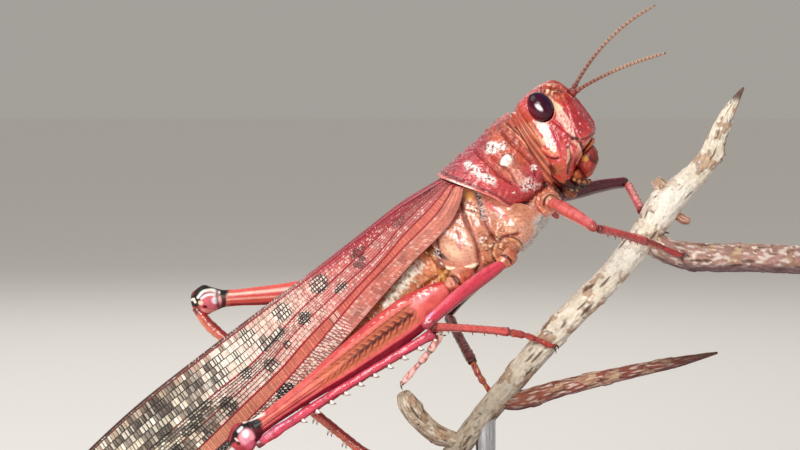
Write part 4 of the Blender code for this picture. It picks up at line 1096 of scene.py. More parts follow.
paint(coat, (
    (ramp(0.9, 2.2, z) * ramp(2.6, 1.2, x), (220, 144, 142), 0.85),
    (fore_plate, (236, 188, 164), 0.85),
    (spot(x, z, (5.0, -1.9), (0.9, 1.8), 12, 0.8), (206, 146, 120), 0.7),
    (hind_plate, (230, 182, 160), 0.85),
    # Painted highlight: a pink streak and a speckled white one down the fore plate.
    (spot(x, z, (3.15, -0.3), (0.26, 1.7), 14, 0.6), (240, 140, 148), 0.8),
    (spot(x, z, (2.65, -0.5), (0.3, 1.7), 14, 0.5) * ramp(-0.5, 0.2, speck), (255, 238, 226), 0.9),
    # Painted highlight: a white streak of glints down the hind plate.
    (spot(x, z, (-1.5, 0.0), (0.3, 1.6), 22, 0.5) * ramp(-0.5, 0.1, glint - 0.3), WHITE, 0.85),
    (stroke(((-1.0, 1.0), (-1.35, 0.0), (-1.9, -1.0)), x, z, 0.07) * outer, (206, 60, 130), 0.8),
    (spot(x, z, (-2.6, -0.6), (0.5, 1.0), 20, 0.7), (252, 216, 186), 0.75),
    (mid_plate, (212, 146, 122), 0.7),
    (crumpled, (206, 138, 100), 0.8),
    # Painted light and shade on the crumpled part: white glints on the lumps and dark in the creases.
    (crumpled * glint * ramp(0.2, 0.8, grain(chest, 0.8, 38)), (255, 226, 190), 0.85),
    (crumpled * crease, (96, 36, 26), 0.8),
    (spot(x, z, (1.85, 2.7), (0.42, 0.6), 0, 0.6), (232, 192, 120), 0.85),
    # Painted white glints near the yellow spot.
    (spot(x, z, (1.2, 1.6), (0.8, 1.0), 20, 0.6) * glint, (255, 240, 214), 0.85),
    (spot(x, z, (0.9, 1.4), (1.0, 1.2), 20, 0.6) * ramp(0.6, 0.9, -speck), (80, 30, 34), 0.8),
    (spot(x, z, (0.2, -1.2), (0.7, 1.0), 20, 0.8) * bell(grain(chest, 0.7, 39), 0, 0.1), (140, 64, 52), 0.7),
    (coxa_ring, (246, 186, 140), 0.85),
    (bell(coxa_gap, 1.16, 0.07) * outer, (70, 22, 20), 0.85),
    # Painted shade: darker towards the bottom of the chest.
    (ramp(-4.0, -4.8, z), (150, 70, 58), 0.8),
    (ramp(0.8, 1.4, speck), (160, 80, 66), 0.5),
    (ramp(4.6, 5.8, x) * ramp(-2.6, -3.4, z), (244, 232, 222), 0.75),
    (seams, (176, 88, 74), 0.7),
    (seam_core, (92, 26, 34), 0.85),
    (spiracle, (244, 232, 228), 0.85),
    (spiracle * ramp(0.1, 0.5, grain(chest, 0.3, 35)), (24, 10, 26), 0.97),
    # Painted shade in the gap between the chest and the abdomen, flecked with painted white glints.
    (spot(x, z, (-4.1, 0.3), (0.3, 1.3), 25) * outer, (60, 18, 30), 0.95),
    (spot(x, z, (-4.2, 0.7), (0.4, 0.9), 25) * outer * ramp(0.2, 0.6, grain(chest, 0.3, 66)), WHITE, 0.85),
    (pale_ridge, (255, 232, 204), 0.95),
    (stroke(((-5.0, -1.0), (-4.2, -1.9), (-3.1, -2.8), (-1.6, -3.4)), x, z, 0.08) * outer, (110, 40, 30),
     0.8),
    # A painted white glint.
    (spot(x, z, (0.35, -1.5), (0.55, 0.25), -10) * glint, WHITE, 0.9),
))
chest_gloss = 0.65 - 0.5 * seams + 0.35 * np.maximum(fore_plate, hind_plate) - 0.4 * spiracle
make_shell("chest_plates", chest_shaped, coat, chest_gloss, flank_cuticle, ("thorax",),
           domes=(0.02, 0.02))

NECK_HALF = profile((6.0, 2.9), (7.6, 3.0), (8.6, 2.6), (9.1, 2.1))
NECK_BOTTOM = profile((6.0, -3.9), (7.6, -3.8), (8.6, -3.3), (9.1, -2.8))
NECK_COLUMNS, SKIN_COLUMNS = 160, 120
stations = np.linspace(6.0, 9.1, 60)
turn = turns(NECK_COLUMNS)
neck_top = LOBE_BOTTOM + 0.25
middle_z = (neck_top + NECK_BOTTOM(stations)) / 2
neck = np.stack((np.repeat(stations[:, None], NECK_COLUMNS, 1),
                 NECK_HALF(stations)[:, None] * squared(np.cos(turn), 2.8),
                 middle_z[:, None] + (neck_top - middle_z)[:, None] * squared(np.sin(turn), 2.8)), -1)
x, y, z = np.moveaxis(neck, -1, 0)
socket = bell(np.hypot(x - 7.7, z + 2.6), 1.05, 0.16) * ramp(1.5, 2.4, np.abs(y))
neck = raised(neck, 0.12 * socket + 0.05 * grain(neck, 0.7, 41) + 0.02 * grain(neck, 0.35, 42)
              - 0.12 * stroke(((8.3, -1.5), (8.5, -2.4), (8.3, -3.4)), x, z, 0.12))
coat = wash(x.shape, (208, 132, 114))
paint(coat, (
    (ramp(0.3, 0.9, grain(neck, 0.6, 43)), (250, 220, 200), 0.7),
    (bell(grain(neck, 0.9, 44), 0, 0.12), (110, 44, 44), 0.7),
    (socket, (232, 156, 120), 0.6),
    (ramp(8.5, 9.0, x), (66, 24, 24), 0.8),
))
make_shell("fore_chest", neck, coat, 0.6, flank_cuticle, ("prosternum",), domes=(0.05, 0.15))

# The flexible neck: soft folds that join the head to the shield.
turn = turns(SKIN_COLUMNS)
neck_x = np.linspace(8.9, 10.9, 24)
slant = 0.1 * (6.0 - (2.0 + 4.0 * np.sin(turn))) * 0.4
cervix = np.stack((np.repeat(neck_x[:, None], SKIN_COLUMNS, 1) - slant,
                   np.repeat(2.95 * squared(np.cos(turn), 2.4)[None], 24, 0),
                   np.repeat(2.3 + 4.22 * squared(np.sin(turn), 2.4)[None], 24, 0)), -1)
pleat = np.sin(neck_x[:, None] * 13 + 0.5 * np.sin(2 * turn) + 0.9 * np.sin(5 * turn + neck_x[:, None] * 3))
cervix = raised(cervix, 0.08 * pleat)
coat = wash(cervix.shape[:2], (206, 124, 100))
paint(coat, (
    # Painted light and shade: dark in the pleat valleys, pale on the crests.
    (ramp(-0.6, -0.95, pleat), (104, 38, 36), 0.8),
    (ramp(0.6, 0.95, pleat), (240, 168, 130), 0.5),
    (ramp(4.6, 5.8, cervix[..., 2]), (206, 100, 84), 0.9),
))
make_shell("neck_skin", cervix, coat, 0.4, flank_cuticle, domes=(0.05, 0.05))
peg, _ = oval((7.3, 0, -3.9), (0.35, 0.3, 0.75), rows=16, columns=24)
make_shell("breast_peg", peg, wash(peg.shape[:2], (196, 96, 84)), 0.6, leg_cuticle,
           domes=(0.01, 0.01))
print("chest of", chest.shape[0] * chest.shape[1], "points, with neck and peg")

# %% [markdown]
# ## The abdomen
#
# The abdomen is a row of ten rings that slide into one another, each with a back plate, a belly plate and
# a soft pleat along the side. One long skin with a step at every ring keeps them from showing gaps. The
# first ring carries the ear, a pale drum. The end carries two small feelers and the hard valves.

# %% Abdomen
BELLY_HALF = profile((-4.6, 3.0), (-9, 2.95), (-14, 2.85), (-20, 2.5), (-26, 2.1), (-30, 1.5), (-31.5, 0.8))
BELLY_TOP = profile((-4.6, 4.5), (-14, 4.0), (-23, 3.2), (-29, 2.6), (-31.5, 1.6))
BELLY_BOTTOM = profile((-4.6, -4.4), (-9, -4.4), (-16, -3.9), (-23, -2.9), (-28.5, -2.0), (-31.5, 0.1))
RINGS = (-4.7, -7.6, -10.6, -13.5, -16.4, -19.2, -21.9, -24.5, -26.9, -29.0, -31.5)
BELLY_ROWS, BELLY_COLUMNS = 440, 150
stations = np.linspace(-31.5, -3.5, BELLY_ROWS)
turn = turns(BELLY_COLUMNS)
top, bottom = BELLY_TOP(stations), BELLY_BOTTOM(stations)
middle_z = bottom + 0.36 * (top - bottom)
up = squared(np.sin(turn), 2.15)
z = middle_z[:, None] + np.where(up > 0, (top - middle_z)[:, None], (middle_z - bottom)[:, None]) * up
above = np.clip((z - middle_z[:, None]) / (top - middle_z)[:, None], 0, 1)
y = BELLY_HALF(stations)[:, None] * squared(np.cos(turn), 2.15) * (1 - 0.16 * above)
belly = np.stack((np.repeat(stations[:, None], BELLY_COLUMNS, 1), y, z), -1)
x = belly[..., 0]
ring_edges = np.array(RINGS[::-1])
ring = np.searchsorted(ring_edges, x) - 1
ring = np.clip(ring, 0, len(RINGS) - 2)
inside = (x - ring_edges[ring]) / (ring_edges[ring + 1] - ring_edges[ring])
overlap = 0.12 * ramp(0.2, 0.0, inside) - 0.1 * ramp(0.9, 1.0, inside)
pleat_z = middle_z[:, None] - 0.15 * (middle_z - bottom)[:, None]
pleat = bell(z, pleat_z, 0.22)
flap = stroke(((-11.2, -0.75), (-9.2, -0.3), (-7.0, 0.25)), x, z, 0.6, 0.6) * ramp(1.2, 2.2, np.abs(y))
belly_shaped = raised(belly, overlap - 0.16 * pleat + 0.28 * flap + 0.03 * grain(belly, 0.6, 51))
coat = wash(x.shape, (222, 152, 92))
paint(coat, (
    (ramp(0.0, 0.9, z - pleat_z), (224, 140, 104), 0.7),
    (ramp(3.0, 4.2, z), (206, 96, 92), 0.7),
    (ramp(-0.4, -1.6, z - pleat_z), (226, 164, 110), 0.7),
    (ramp(0.12, 0.02, inside), (246, 204, 160), 0.6),
    # Painted shade: the front of each ring, where it slides under the ring before it, is darker.
    (ramp(0.88, 1.0, inside), (120, 50, 40), 0.7),
    (pleat * 0.9, (206, 112, 66), 0.7),
))
side_on = ramp(1.5, 2.2, np.abs(y))
crease = bell(grain(belly, 0.9, 54), 0, 0.14) * ramp(-15, -12, x)
paint(coat, (
    (crease, (120, 54, 34), 0.6),
    (ramp(0.3, 1.0, grain(belly, 0.7, 55)) * ramp(-15, -12, x), (250, 196, 140), 0.6),
))
drum = ramp(0.35, 0.6, stroke(((-11.2, -0.75), (-9.2, -0.3), (-7.0, 0.25)), x, z, 0.55, 0.8)
            + 0.3 * grain(belly, 0.45, 56)) * side_on
paint(coat, (
    (drum, (255, 250, 238), 0.97),
    (drum * ramp(0.6, 1.0, grain(belly, 0.5, 57)), (176, 120, 70), 0.7),
    (spot(x, z, (-6.4, 0.4), (0.7, 0.6), 0, 0.5) * ramp(-0.3, 0.2, grain(belly, 0.4, 58)) * side_on, WHITE,
     0.95),
    (stroke(((-9.8, -2.1), (-7.6, -1.5), (-5.6, -1.6)), x, z, 0.16) * side_on, (134, 44, 44), 0.7),
    (spot(x, z, (-5.6, -1.8), (1.1, 0.8)) * ramp(0.0, 0.5, grain(belly, 0.9, 52)), (240, 196, 96), 0.5),
    (spot(x, z, (-5.8, -2.6), (1.2, 0.7)) * ramp(0.2, 0.7, -grain(belly, 0.4, 53)), (130, 56, 30), 0.8),
))
make_shell("abdomen_rings", belly_shaped, coat, 0.6 + 0.35 * drum, belly_cuticle,
           ("abdomen_front", "abdomen_middle", "abdomen_tip"), domes=(0.3, 0.02))
tail = []
for side in (-1, 1):
    grid, share, up, aside = tube(((-30.6, side * 1.05, 1.4), (-31.4, side * 1.15, 1.5),
                                   (-32.0, side * 1.1, 1.4)), 16,
                                  profile((0, 0.3), (1, 0.08)), profile((0, 0.3), (1, 0.08)), columns=16)
    tail.append(as_part(grid, shade(214, 120, 84), 0.5))
    for lift in (0.75, 0.2):
        route = ((-30.8, side * 0.35, lift), (-31.8, side * 0.36, lift + 0.05),
                 (-32.6, side * 0.3, 1.2 * lift + 0.1))
        grid, share, up, aside = tube(route, 24, profile((0, 0.34), (0.6, 0.3), (1, 0.06)),
                                      profile((0, 0.3), (0.6, 0.25), (1, 0.05)), columns=18)
        tone = wash(share.shape, (198, 110, 70))
        lay(tone, ramp(0.6, 1.0, share), (60, 22, 20), 0.9)
        tail.append(as_part(grid, tone, 0.8))
make_cluster("tail_valves", tail, mouth_cuticle)
print("abdomen of", len(RINGS) - 1, "rings")

# %% [markdown]
# ## The forewings
#
# A forewing is a leathery sheet held out by a net of veins: strong ones along it, fine ones across, and
# thin cells between that sag a little like window leather. A bump map would blur that net, and it is the
# first thing one sees on a locust. So the net is built for real: lanes between the long veins are cut
# into cells by cross veins at uneven steps, each cell is its own small dished patch with one colour, and
# each vein is a raised ridge. Dark blotches are then a matter of choosing cells and their veins by place.

# %% Forewing surface
WING_TIP_X = -53.5
WING_LOW = profile((0.4, 3.7), (-0.9, 2.75), (-2.8, 1.7), (-6.4, 1.05), (-10.6, 0.3), (-15.6, -0.65),
                   (-24, -1.8), (-32, -2.25), (-40, -2.3), (-46, -1.7), (-50, -0.4), (-52.5, 1.1),
                   (WING_TIP_X, 2.3))
WING_TOP = profile((0.4, 5.75), (-4, 6.3), (-9, 6.35), (-15, 6.4), (-22, 6.6), (-36, 6.8), (-42, 6.5),
                   (-47, 5.9), (-50.5, 4.9), (-52.6, 3.9), (WING_TIP_X, 2.9))
WING_FOOT_Y = profile((0.4, 4.3), (-5, 4.4), (-12, 4.1), (-20, 3.6), (-28, 3.05), (-36, 2.45), (-44, 1.75),
                      (-50, 1.2), (WING_TIP_X, 0.85))
WING_SHOULDER_Y = profile((0.4, 3.9), (-6, 3.7), (-14, 3.0), (-22, 2.3), (-30, 1.5), (-37, 0.95),
                          (WING_TIP_X, 0.75))
WING_BULGE = profile((0.4, 0.1), (-12, 0.2), (-40, 0.25), (WING_TIP_X, 0.05))
WING_SEAM, SIDE_SHARE = 0.12, 0.8


def wing_surface(x, t, depth=0.0):
    """Points of a left forewing. t runs from the front margin, below, to the seam on the back."""
    x, t = np.broadcast_arrays(np.asarray(x, float), np.asarray(t, float))

    def face(t):
        low, top, foot, shoulder = WING_LOW(x), WING_TOP(x), WING_FOOT_Y(x), WING_SHOULDER_Y(x)
        roof = np.minimum(0.3, 0.2 * (top - low))
        s = np.clip(t / SIDE_SHARE, 0, 1)
        side_y = foot + (shoulder - foot) * s * s + WING_BULGE(x) * np.sin(math.pi * s)
        side_z = low + (top - roof - low) * s
        r = np.clip((t - SIDE_SHARE) / (1 - SIDE_SHARE), 0, 1)
        roof_y = shoulder + (WING_SEAM - shoulder) * r
        roof_z = top - roof + roof * np.sin(r * math.pi / 2)
        on_side = t <= SIDE_SHARE
        return np.where(on_side, side_y, roof_y), np.where(on_side, side_z, roof_z)

    y, z = face(t)
    (y0, z0), (y1, z1) = face(np.maximum(t - 0.02, 0)), face(np.minimum(t + 0.02, 1))
    reach = np.hypot(y1 - y0, z1 - z0) + 1e-9
    inward = np.stack((-(z1 - z0) / reach, (y1 - y0) / reach), -1)
    y, z = y + inward[..., 0] * depth, z + inward[..., 1] * depth
    slant = np.clip((x + 6) / 6.4, 0, 1)
    return np.stack((x + slant * (shield_edge(z) - shield_edge(CREST_REAR)), np.maximum(y, WING_SEAM * 0.4),
                     z), -1)


# Shares of the section where the main long veins lie, as they run towards the tip.
VEIN_LOWER = profile((0.4, 0.34), (-3, 0.29), (-8, 0.25), (-13, 0.235), (-19, 0.17), (-28, 0.095),
                     (-34, 0.062), (-42, 0.05), (-50, 0.06), (WING_TIP_X, 0.12))
VEIN_UPPER = profile((0.4, 0.5), (-4.3, 0.43), (-8.7, 0.345), (-13.4, 0.32), (-19.5, 0.29), (-23, 0.25),
                     (-28, 0.225), (-34, 0.18), (-42, 0.14), (-50, 0.15), (WING_TIP_X, 0.22))
VEIN_ANAL = profile((0.4, 0.72), (-5.8, 0.67), (-11.2, 0.615), (-18, 0.575), (-24.7, 0.475), (-30, 0.47),
                    (-38, 0.45), (-46, 0.44), (WING_TIP_X, 0.5))
VEIN_MEDIAN = profile((0.4, 0.65), (-4.3, 0.56), (-8.7, 0.46), (-13.4, 0.455), (-19.5, 0.43), (-24.7, 0.36),
                      (-34, 0.32), (-46, 0.3), (WING_TIP_X, 0.36))
MAIN_VEINS = (lambda x: 0 * x, VEIN_LOWER, VEIN_UPPER, VEIN_MEDIAN, VEIN_ANAL, lambda x: 0 * x + SIDE_SHARE,
              lambda x: 0 * x + 1.0)
LANES_BETWEEN = (4, 1, 3, 5, 5, 2)
FIELD_NAMES = ("costal", "strip", "median", "cubital", "anal", "roof")
CELL_LEANS = dict(zip(FIELD_NAMES, (0.9, -0.15, 0.12, 0.1, -0.1, -0.1)))
REDNESS = dict(zip(FIELD_NAMES, (1.0, 1.0, 0.8, 0.95, 0.85, 0.5)))
CELL_LENGTH = 0.46
CELL_POINTS, VEIN_POINTS = 4, 330

lanes = []
for lower, upper, count, field in zip(MAIN_VEINS, MAIN_VEINS[1:], LANES_BETWEEN, FIELD_NAMES):
    for i in range(count):
        lanes.append((lower, upper, i / count, (i + 1) / count, field))


def lane_edge(lane, x, top):
    """Share of the section at the lower or upper edge of a lane."""
    lower, upper, start, end, _ = lane
    part = end if top else start
    return lower(x) + (upper(x) - lower(x)) * part


BLOTCHES = (
    # place along and share up the wing, half length and half height in shares, darkness
    (-5.2, 0.62, 0.8, 0.05, 0.35), (-8.0, 0.55, 0.6, 0.04, 0.3), (-10.2, 0.66, 1.1, 0.045, 0.9),
    (-10.6, 0.53, 0.9, 0.05, 0.8), (-7.0, 0.13, 0.5, 0.04, 0.2), (-11.0, 0.17, 0.4, 0.03, 0.2),
    (-13.6, 0.47, 0.9, 0.035, 0.6), (-15.2, 0.67, 1.2, 0.075, 1.0), (-14.0, 0.15, 0.4, 0.03, 0.3),
    (-16.0, 0.26, 0.7, 0.03, 0.9), (-18.4, 0.48, 0.9, 0.05, 0.9), (-19.9, 0.68, 1.1, 0.07, 1.0),
    (-18.9, 0.27, 0.6, 0.025, 0.8), (-21.7, 0.53, 1.2, 0.04, 1.0), (-23.1, 0.54, 1.1, 0.05, 1.0),
    (-24.0, 0.34, 0.8, 0.05, 1.0), (-24.2, 0.7, 1.0, 0.06, 0.8), (-26.2, 0.59, 0.6, 0.04, 1.0),
    (-24.5, 0.05, 1.3, 0.05, 1.0), (-28.7, 0.68, 1.5, 0.05, 0.9), (-28.8, 0.55, 1.2, 0.045, 1.0),
    (-30.0, 0.3, 1.1, 0.07, 1.0), (-33.0, 0.69, 1.5, 0.05, 0.9), (-32.6, 0.45, 1.7, 0.05, 0.9),
    (-34.3, 0.36, 1.3, 0.04, 0.9), (-33.4, 0.2, 0.7, 0.04, 1.0), (-36.3, 0.7, 1.1, 0.06, 0.9),
    (-33.0, 0.04, 1.4, 0.04, 1.0), (-37.6, 0.5, 1.6, 0.06, 0.9), (-38.8, 0.65, 1.4, 0.05, 0.9),
    (-37.0, 0.28, 0.9, 0.04, 0.7), (-40.6, 0.7, 1.3, 0.05, 0.9), (-41.4, 0.4, 1.6, 0.06, 0.8),
    (-41.0, 0.16, 1.0, 0.05, 0.8), (-43.8, 0.6, 1.4, 0.07, 0.9), (-45.6, 0.3, 1.3, 0.07, 0.8),
    (-47.0, 0.68, 1.0, 0.06, 0.8), (-48.6, 0.48, 1.2, 0.07, 0.8), (-50.6, 0.3, 0.8, 0.08, 0.7),
    (-39.4, 0.34, 1.0, 0.05, 0.9), (-42.6, 0.52, 1.1, 0.05, 0.8), (-46.0, 0.52, 1.2, 0.05, 0.9),
    (-43.4, 0.24, 1.2, 0.05, 0.9), (-35.2, 0.58, 1.0, 0.045, 0.9), (-31.2, 0.62, 0.8, 0.04, 0.9),
    (-44.8, 0.72, 1.0, 0.05, 0.9), (-48.4, 0.3, 1.0, 0.06, 0.9), (-35.8, 0.12, 0.9, 0.04, 0.8),
    (-26.4, 0.43, 0.8, 0.04, 0.9), (-21.4, 0.38, 0.5, 0.03, 0.7), (-50.8, 0.55, 0.8, 0.08, 0.9),
)


def blotch_at(x, t):
    """How deep inside a dark blotch a place is, 0 to 1, and how dark that blotch is."""
    deepest, darkness = np.zeros(np.shape(x)), np.zeros(np.shape(x))
    for place, share, long, high, dark in BLOTCHES:
        wide = long * (0.85 + 0.35 * ramp(-31, -37, place))
        reach = np.hypot((x - place) / wide, (t - share) / (high * 1.35))
        inside = ramp(1.05, 0.95, reach)
        darkness = np.where(inside > deepest, dark, darkness)
        deepest = np.maximum(deepest, inside)
    return deepest, darkness


def wing_ground(x, t, field):
    """The ground colour of the wing: rose at the base, cream in the middle, grey cream at the tip."""
    colour = shade(202, 84, 88)
    for place, tone in ((-6, shade(214, 102, 98)), (-12, shade(228, 154, 148)), (-17, shade(240, 206, 194)),
                        (-24, shade(238, 220, 208)), (-32, shade(232, 222, 204)),
                        (-42, shade(206, 194, 170)), (-53, shade(158, 140, 120))):
        colour = blend(colour, tone, ramp(place + 3, place - 3, x))
    if field == "strip":
        colour = blend(shade(226, 134, 120), shade(220, 160, 136), ramp(-14, -34, x))
    if field == "median" or field == "cubital":
        colour = blend(colour, shade(232, 166, 162), 0.55 * ramp(-38, -22, x))
    if field == "costal":
        colour = blend(colour, shade(228, 162, 146), (0.6 + 0.3 * ramp(-11, -7, x)))
    if t > 0.66 and x > -20:
        colour = blend(colour, shade(200, 52, 86), ramp(-20, -9, x) * ramp(0.66, 0.78, t))
    if t > 0.72 and x < -14:
        tone = shade(168, 128, 104) if t < 0.86 else shade(112, 72, 60)
        colour = blend(colour, tone, ramp(-14, -26, x) * ramp(0.7, 0.82, t) * 0.85)
    # Painted shade: a dark notch at the hinge of the wing.
    if field != "roof" and math.hypot((x + 1.1) / 1.1, (t - 0.82) / 0.08) < 1:
        colour = colour * 0.45 + shade(70, 20, 50) * 0.55
    return colour


VEIN_RED = shade(186, 22, 62)
VEIN_PALE = shade(255, 250, 242)
VEIN_BLACK = shade(16, 8, 12)
VEIN_GREY = shade(66, 46, 42)

# %% [markdown]
# ## The net of the forewing
#
# Along a lane, each cross vein is set a short, uneven step past the last one, and the cell between them
# becomes a small dished patch. A painted net would be quicker, but it has no depth and its detail is
# fixed at one size. One object per cell would be slow, so the patches are joined, and so are the ridges.

# %% Forewing cells and veins


def ridge(route, wide, high, tone, gloss=0.6):
    """A raised ridge along points on the wing: two feet and a crest."""
    route = np.asarray(route)
    count = len(route)
    along = np.gradient(route, axis=0)
    outward = ridge_normals(route)
    aside = np.cross(along, outward)
    aside /= np.linalg.norm(aside, axis=1, keepdims=True) + 1e-12
    wide, high = np.broadcast_to(wide, (count,))[:, None], np.broadcast_to(high, (count,))[:, None]
    points = np.stack((route - aside * wide - outward * 0.05, route + outward * high,
                       route + aside * wide - outward * 0.05), 1).reshape(-1, 3)
    start = np.arange(count - 1) * 3
    faces = [[a, a + 1, a + 4, a + 3] for a in start] + [[a + 1, a + 2, a + 5, a + 4] for a in start]
    faces += [[a + 2, a, a + 3, a + 5] for a in start]
    return points, faces, np.repeat(np.broadcast_to(tone, (count, 3)), 3, 0), gloss


def ridge_normals(route):
    """Away from the body, at points on a left wing: mostly sideways on the side, upwards on the roof."""
    high = ramp(0.0, 0.5, route[:, 2] - (WING_TOP(route[:, 0]) - 0.35))
    outward = np.stack((0 * high, 1 - 0.9 * high, 0.15 + high), -1)
    return outward / np.linalg.norm(outward, axis=1, keepdims=True)


def forewing(side):
    """The dished cells and the vein ridges of one forewing, both as cluster parts."""
    dice = np.random.default_rng(40 + side)
    cells, veins = [], []
    for lane in lanes:
        field = lane[4]
        size = CELL_LENGTH * (0.5 if field in ("strip", "costal") else 0.82)
        x = 0.35 - dice.uniform(0, size)
        marks = []
        while x > WING_TIP_X + 0.3:
            marks.append(x)
            x -= size * dice.uniform(0.7, 1.3) * (0.75 + 0.3 * ramp(-13, -34, x))
        lean = CELL_LEANS[field]
        marks = np.array(marks)
        rows = np.linspace(0, 1, CELL_POINTS)
        for start, end in zip(marks, marks[1:]):
            u, v = np.meshgrid(rows, rows, indexing="ij")
            xs = start + (end - start) * u
            t = lane_edge(lane, xs, False) * (1 - v) + lane_edge(lane, xs, True) * v
            xs = xs - lean * (v - 0.5) * size
            sag = 0.16 * np.sin(u * math.pi) * np.sin(v * math.pi) * min(size, 0.5)
            sag = sag * (0.35 if field == "costal" else 1.0)
            points = wing_surface(np.minimum(xs, 0.4), t, 0.03 + sag).reshape(-1, 3)
            middle_x, middle_t = (start + end) / 2, t.mean()
            inside, dark = blotch_at(middle_x, middle_t)
            spread = 0.03 if field == "costal" else 0.12 if middle_x < -9 else 0.07
            colour = wing_ground(middle_x, middle_t, field) * dice.uniform(1 - spread, 1 + spread * 0.7)
            odd = len(cells) % 2
            clump = float(grain(np.array(((middle_x * 0.6, side * 9, middle_t * 7),)), 1.5, 77)[0])
            if field == "strip":
                bar = shade(240, 170, 142) if odd else shade(192, 84, 68)
                colour = blend(colour, bar, 0.1 + 0.25 * dice.uniform())
            if middle_x < -24 and field != "strip" and dice.uniform() < 0.28:
                colour = blend(colour, shade(255, 255, 248), 0.65)
            if middle_x < -30 and field != "strip" and dice.uniform() < 0.12:
                colour = blend(colour, shade(118, 98, 84), 0.6)
            if clump > 0.25 and field not in ("strip", "costal"):
                colour = blend(colour, shade(112, 90, 76), 0.75 * ramp(-27, -33, middle_x))
            if field == "costal" and middle_x > -15:
                colour = colour * (1 + 0.18 * clump)
            # Painted glints: single cells turned pale where the light catches them.
            lit = -26 < middle_x < -3 and field in ("median", "cubital", "costal", "anal")
            if lit and dice.uniform() < 0.24:
                bright = 0.45 if field == "costal" and middle_x > -13 else 0.6
                colour = blend(colour, shade(255, 232, 224), bright * ramp(0.78, 0.7, middle_t))
            if inside > dice.uniform(0.3, 0.7):
                if middle_x > -12.5:
                    fill = shade(150, 34, 56) if middle_x > -9 else shade(128, 34, 50)
                    share = 0.25 if dice.uniform() < 0.3 else 0.95
                elif middle_x > -29:
                    fill = shade(120, 96, 92) if dice.uniform() < 0.22 else shade(255, 250, 240)
                    share = 0.7
                else:
                    fill = shade(92, 74, 64) if dice.uniform() < 0.6 else shade(214, 204, 188)
                    share = 0.9
                colour = blend(colour, fill, share * dice.uniform(0.75, 1.0) * (0.2 + 0.8 * dark))
            if field == "costal" and middle_x < -15:
                bar = shade(24, 12, 20) if inside > 0.3 else shade(206, 120, 124)
                colour = blend(colour, shade(255, 246, 240) if odd else bar, 0.75)
            patch = grid_faces(CELL_POINTS, CELL_POINTS, closed=False).tolist()
            cells.append((points, patch, colour, 0.5 + 0.3 * dice.uniform()))
        for mark in marks[1:]:
            v = rows[:, None].ravel()
            t = lane_edge(lane, mark, False) * (1 - v) + lane_edge(lane, mark, True) * v
            route = wing_surface(np.minimum(mark - lean * (v - 0.5) * size, 0.4), t)
            inside, dark = blotch_at(mark, t.mean())
            pale = wing_ground(mark, t.mean(), field)
            if inside > 0.2 and dark < 0.35:
                tone, wide = pale * 0.8, 0.04
            elif inside > 0.2 and mark < -12.5:
                tone, wide = VEIN_BLACK, (0.04 if mark > -17 else 0.055) + 0.025 * dice.uniform()
            elif inside > 0.2:
                tone, wide = shade(70, 10, 30), 0.05
            elif mark > -16:
                tone, wide = pale * dice.uniform(0.62, 0.9), 0.035
                if field == "costal":
                    tone = pale * dice.uniform(0.93, 1.0)
                # Painted glints: a few cross veins near the base turned white.
                if dice.uniform() < 0.1 and field not in ("roof", "costal"):
                    tone = VEIN_PALE
            elif dice.uniform() < 0.45 * ramp(-34, -30, mark):
                tone, wide = blend(pale, VEIN_PALE, 0.85), 0.05
            else:
                tone = blend(pale * 0.5, VEIN_GREY, ramp(-22, -34, mark))
                wide = 0.035 + 0.02 * dice.uniform()
            if field == "strip":
                tone, wide = pale * 0.85, 0.03
            veins.append(ridge(route, wide, 0.04 if wide < 0.05 else 0.06, tone))
        stations = np.linspace(0.38, WING_TIP_X + 0.25, VEIN_POINTS)
        t = lane_edge(lane, stations, True)
        route = wing_surface(stations, t)
        inside, dark = blotch_at(stations, t)
        base = np.array([wing_ground(a, b, field) for a, b in zip(stations, t)])
        fade = ramp(-14, -28, stations)[:, None]
        tone = base * (0.85 if field == "costal" else 0.68) * (1 - fade)
        tone = tone + (base * 0.5 + (VEIN_GREY - base * 0.5) * 0.7) * fade
        wide = 0.035 + 0.025 * fade[:, 0]
        if lane[3] == 1.0:
            strong = REDNESS[field]
            tone = tone + (VEIN_RED - tone) * strong * ramp(-50, -20, stations)[:, None]
            wide = wide + 0.075 * strong * ramp(-54, -14, stations)
        black = (ramp(0.3, 0.7, inside) * ramp(0.3, 0.5, dark) * ramp(-11, -13, stations))[:, None]
        if field not in ("costal", "strip") or lane[3] != 1.0:
            tone = tone + (VEIN_BLACK - tone) * black
            wide = np.maximum(wide, 0.065 * black[:, 0])
        veins.append(ridge(route, wide, wide * 0.8 + 0.01, tone))
    stations = np.linspace(0.38, WING_TIP_X + 0.1, VEIN_POINTS)
    route = wing_surface(stations, 0 * stations)
    tone = np.array([wing_ground(a, 0, "costal") for a in stations]) * 0.75
    veins.append(ridge(route, 0.1, 0.07, tone))
    return cells, veins


def mirror_parts(parts, side):
    """Parts made for the left side, moved to the side whose sign is given."""
    if side > 0:
        return parts
    return [(points * (1, -1, 1), [face[::-1] for face in faces], coat, gloss)
            for points, faces, coat, gloss in parts]


